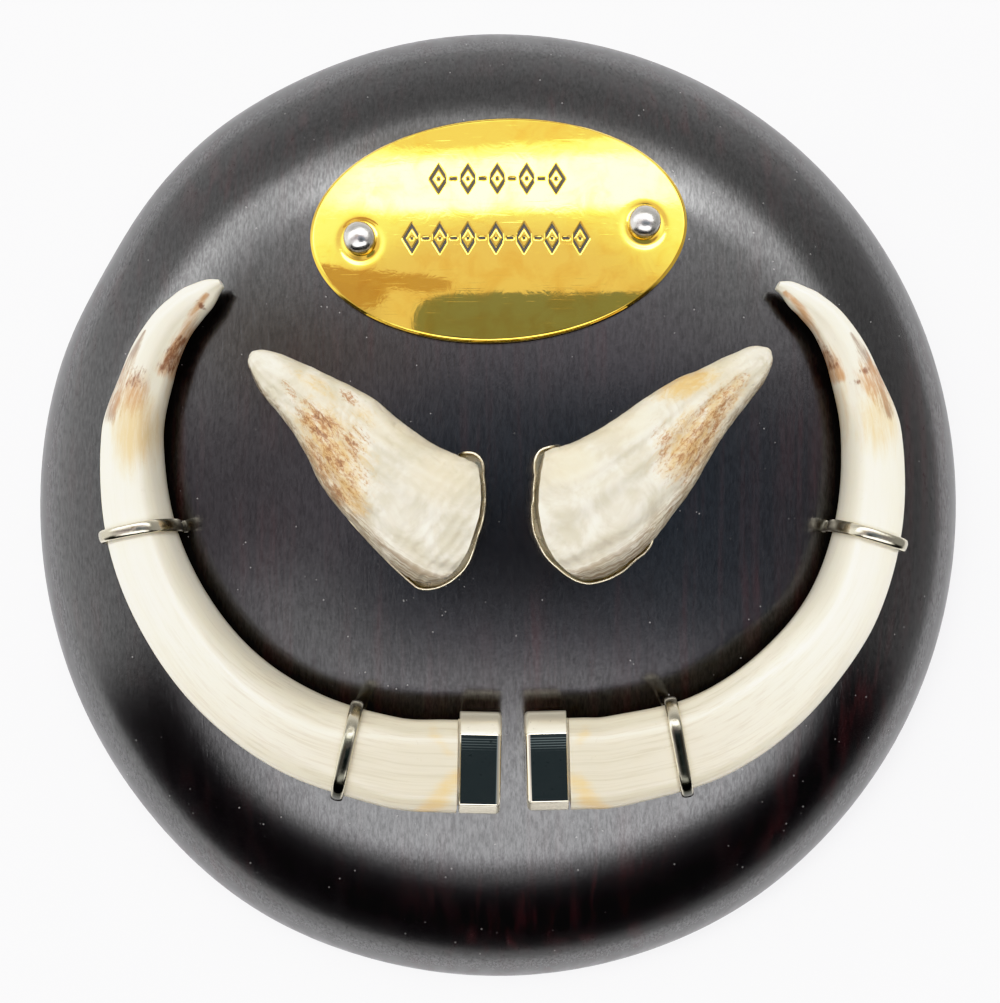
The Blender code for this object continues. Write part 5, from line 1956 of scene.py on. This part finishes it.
RIGHT_GRINDER_STATIONS = (
    (58.6, 34.8, 60.1, 33.4, 2.4, 4.2),
    (55.6, 34.9, 60.1, 30.8, 4.6, 3.4),
    (50.4, 32.8, 57.4, 25.8, 7.6, 2.6),
    (44.2, 29.7, 52.9, 20.6, 10.2, 2.2),
    (37.6, 26.8, 47.8, 13.8, 12.6, 2.0),
    (31.4, 22.9, 42.4, 5.0, 14.4, 1.9),
    (25.6, 18.9, 36.8, -3.0, 15.6, 1.9),
    (20.0, 15.3, 30.6, -9.9, 16.2, 1.9),
    (14.8, 12.9, 25.0, -13.9, 16.0, 1.9),
    (12.0, 12.2, 21.9, -15.3, 15.4, 1.9),
    (10.2, 11.3, 19.3, -15.7, 14.6, 2.0),
)
# Outer lines of the cups in mm: x, y, wall height
LEFT_CUP_LINE = (
    (-12.5, 8.4, 1.2),
    (-9.6, 10.6, 1.2),
    (-7.8, 11.7, 6.6),
    (-5.3, 11.6, 7.4),
    (-3.5, 10.2, 7.6),
    (-2.9, 8.0, 7.6),
    (-3.3, 2.0, 7.4),
    (-3.6, -3.0, 7.0),
    (-4.4, -7.4, 6.8),
    (-5.9, -11.9, 6.5),
    (-7.9, -14.8, 6.4),
    (-10.3, -16.8, 6.2),
    (-12.6, -18.1, 6.1),
    (-15.2, -18.6, 6.0),
    (-17.4, -18.3, 6.0),
    (-19.4, -16.9, 5.8),
    (-24.2, -12.6, 5.4),
    (-30.4, -6.2, 4.6),
    (-33.6, -2.9, 3.4),
    (-35.2, -0.4, 1.2),
    (-32.4, 4.0, 1.2),
    (-24.0, 7.6, 1.2),
)
RIGHT_CUP_LINE = (
    (18.4, 10.6, 1.2),
    (14.9, 12.4, 1.2),
    (12.4, 13.2, 6.4),
    (9.5, 12.3, 7.4),
    (8.2, 10.6, 7.6),
    (7.8, 8.4, 7.6),
    (8.1, 5.6, 7.5),
    (7.9, 2.8, 7.4),
    (7.3, 0.2, 7.2),
    (7.3, -2.9, 7.2),
    (7.7, -5.6, 7.0),
    (8.7, -8.3, 6.8),
    (10.1, -10.8, 6.6),
    (12.0, -13.0, 6.4),
    (14.5, -15.1, 6.2),
    (17.0, -16.6, 6.0),
    (19.7, -17.3, 6.0),
    (22.0, -17.0, 5.9),
    (25.0, -16.0, 5.8),
    (27.9, -14.4, 5.6),
    (30.5, -12.2, 5.4),
    (32.8, -10.4, 5.2),
    (34.4, -8.0, 4.8),
    (34.4, -5.4, 4.2),
    (30.8, -0.6, 1.2),
    (26.0, 8.0, 1.2),
)


def lower_tusks() -> list[LowerTusk]:
    """Both lower tusks with their stains.

    Returns:
        The left one and the right one.
    """
    left = LowerTusk(
        Side.LEFT, LEFT_TUSK_STATIONS, (-4.1, -54.75), -1.2, 1.0,
        tan=(Streak(((-63.8, 46.4, 0.4), (-65.6, 43.8, 0.7), (-68.1, 39.4, 0.9), (-70.4, 34.9, 1.3),
                     (-72.8, 29.4, 1.7)), 0.95), Patch(-78.0, 24.6, 5.0, 2.6, 78.0, 0.85),
             Patch(-80.6, 25.0, 7.0, 2.6, 74.0, 0.6)),
        brown=(Streak(((-69.4, 36.8, 0.5), (-71.0, 33.6, 1.2), (-72.5, 30.2, 1.1)), 0.9),
               Patch(-65.2, 44.0, 0.9, 0.5, -60.0, 0.9), Patch(-77.6, 27.4, 2.4, 2.0, 60.0, 0.62)),
        mauve=(Streak(((-76.4, 37.6, 0.4), (-78.6, 32.8, 1.2), (-81.0, 27.0, 2.3),
                       (-83.0, 19.5, 2.0)), 0.85),),
        cream=(Patch(-78.2, 16.5, 10.0, 4.6, 88.0, 0.95), Patch(-72.8, 17.0, 12.0, 1.2, 88.0, 0.7),
               Streak(((-16.4, -64.2, 1.7), (-12.4, -61.0, 2.4), (-9.0, -56.0, 1.8)), 1.0),
               Streak(((-13.6, -47.4, 1.4), (-9.6, -51.4, 1.1)), 0.6),
               Streak(((-9.4, -51.0, 0.6), (-9.2, -56.0, 0.8)), 0.7)))
    right = LowerTusk(
        Side.RIGHT, RIGHT_TUSK_STATIONS, (10.8, -54.3), 181.4, 0.97,
        tan=(Streak(((63.6, 47.2, 0.4), (66.9, 43.1, 0.8), (70.3, 36.8, 1.2), (73.1, 31.6, 1.6),
                     (75.0, 28.0, 1.2)), 0.95), Patch(80.6, 27.0, 5.0, 3.0, -80.0, 0.8),
             Patch(82.2, 25.6, 6.5, 2.4, -74.0, 0.6)),
        brown=(Streak(((70.6, 36.2, 0.7), (72.8, 32.2, 1.1), (73.8, 30.6, 0.8)), 0.8),
               Patch(77.6, 26.8, 0.9, 0.6, 0.0, 0.8), Patch(79.0, 29.0, 1.0, 0.7, 30.0, 0.8)),
        mauve=(Streak(((76.4, 37.2, 0.4), (79.4, 31.6, 1.5), (82.2, 25.4, 2.1),
                       (83.8, 19.8, 1.5)), 0.85),),
        cream=(Patch(81.8, 18.5, 9.0, 4.4, -88.0, 0.8), Patch(75.8, 20.0, 10.0, 1.2, -88.0, 0.6),
               Streak(((16.2, -56.4, 1.8), (18.6, -60.6, 2.4), (22.4, -63.4, 1.7)), 1.0),
               Streak(((16.4, -49.4, 1.1), (18.4, -47.4, 1.3)), 0.7),
               Streak(((16.2, -50.4, 0.6), (16.0, -56.0, 0.8)), 0.7)))
    return [left, right]


def grinders() -> list[Grinder]:
    """Both grinders with their stains.

    Returns:
        The left one and the right one.
    """
    left = Grinder(
        Side.LEFT, LEFT_GRINDER_STATIONS, 5.0, 2.6,
        rust=(Patch(-36.6, 17.0, 5.4, 2.6, -36.0, 0.95), Patch(-29.6, 11.6, 5.6, 3.0, 68.0, 0.75),
              Patch(-39.0, 20.6, 2.6, 1.2, -50.0, 0.7), Patch(-43.6, 24.0, 3.6, 1.2, -50.0, 0.5),
              Streak(((-39.6, 12.6, 1.6), (-36.6, 7.0, 1.6), (-32.6, 1.4, 1.8)), 0.75),
              Patch(-33.0, 8.6, 8.2, 4.6, -56.0, 0.68), Patch(-31.0, 22.6, 2.6, 1.0, -34.0, 0.85)),
        ochre=(Patch(-38.5, 25.6, 8.0, 1.6, -32.0, 0.6), Patch(-34.0, 12.0, 12.0, 7.0, -54.0, 0.8),
               Patch(-30.4, 2.4, 5.4, 3.4, -50.0, 0.95), Patch(-28.0, 19.0, 4.0, 2.0, -40.0, 0.6)),
        cream=(Patch(-11.5, 6.0, 8.0, 6.0, -20.0, 0.9), Patch(-22.0, 15.0, 10.0, 3.4, -32.0, 0.7),
               Patch(-38.0, 24.0, 10.0, 3.0, -30.0, 0.6), Patch(-18.0, -8.0, 8.0, 2.4, -50.0, 0.5)),
        cracks=(((-54.0, 29.8), (-51.2, 24.9)), ((-51.2, 24.9), (-48.8, 20.6)),
                ((-44.0, 14.0), (-38.6, 5.4)), ((-38.6, 5.4), (-33.0, -1.8))))
    right = Grinder(
        Side.RIGHT, RIGHT_GRINDER_STATIONS, 6.7, 2.2,
        rust=(Patch(34.2, 12.0, 5.4, 2.0, -72.0, 0.8), Patch(39.6, 12.6, 8.4, 4.6, 52.0, 0.60),
              Patch(44.6, 19.6, 7.0, 3.0, 48.0, 0.6), Patch(50.4, 25.4, 5.0, 1.6, 44.0, 0.45),
              Streak(((38.4, 5.6, 1.2), (44.6, 15.6, 1.2), (50.4, 23.2, 0.8)), 0.7)),
        ochre=(Patch(40.0, 25.6, 7.6, 2.8, 26.0, 0.95), Patch(39.6, 13.0, 10.0, 6.0, 52.0, 0.8),
               Patch(47.0, 22.0, 8.0, 3.0, 44.0, 0.7)),
        cream=(Patch(14.5, 8.5, 7.0, 5.0, 20.0, 0.9), Patch(26.0, 16.0, 9.0, 3.4, 30.0, 0.7),
               Patch(44.0, 27.0, 12.0, 4.0, 28.0, 0.8), Patch(22.0, -7.0, 8.0, 2.4, 48.0, 0.5)),
        cracks=(((59.4, 28.4), (56.2, 19.6)), ((56.2, 19.6), (54.6, 16.8))))
    return [left, right]


def main() -> None:
    """Build the studio and every piece of the mount."""
    logging.basicConfig(level=logging.INFO, format="%(name)s: %(message)s")
    Studio().build()
    Plaque().build()
    ivory = TuskIvory().material()
    silver = PlatedMetal("nickel silver", (0.94, 0.865, 0.68), (0.30, 0.28, 0.22), 0.03,
                         satin=0.26, scratched=0.02).material()
    wire = PlatedMetal("nickel wire", (0.78, 0.72, 0.56), (0.40, 0.36, 0.28), 0.13, 70.0,
                       hammer=0.00008).material()
    bent: dict[Side, Array] = {}
    for tusk in lower_tusks():
        bent[tusk.side] = tusk.build(ivory)
        EndCap(tusk.side, tusk.cap_centre, tusk.cap_turn, tusk.cap_share).build(silver)
    for loop in (WireLoop("left_upper_wire_loop", Side.LEFT, -77.9, -5.6, 12.0, 5.0),
                 WireLoop("left_lower_wire_loop", Side.LEFT, -32.4, -52.8, 78.0, -6.0, dark=0.95),
                 WireLoop("right_upper_wire_loop", Side.RIGHT, 80.9, -6.7, -18.0, 0.0),
                 WireLoop("right_lower_wire_loop", Side.RIGHT, 39.0, -52.0, -80.0, -9.0, dark=0.95)):
        loop.build(bent[loop.side], wire)
    enamel = GrinderEnamel().material()
    sheet = PlatedMetal("cup metal", (0.86, 0.76, 0.54), (0.22, 0.17, 0.10), 0.20,
                        hammer=0.00006).material()
    lines = {Side.LEFT: LEFT_CUP_LINE, Side.RIGHT: RIGHT_CUP_LINE}
    for grinder in grinders():
        GrinderCup(grinder.side, lines[grinder.side]).build(grinder.build(enamel), sheet)
    plate = NamePlate()
    plate.build(StampedBrass().material())
    steel = PlatedMetal("nail steel", (0.62, 0.60, 0.56), (0.22, 0.20, 0.17), 0.17, 40.0,
                        hammer=0.0001).material()
    for name, (x, y) in zip(("left_plate_nail", "right_plate_nail"), plate.nails):
        PlateNail(name, x, y, plate).build(steel)


if __name__ == "__main__":
    main()
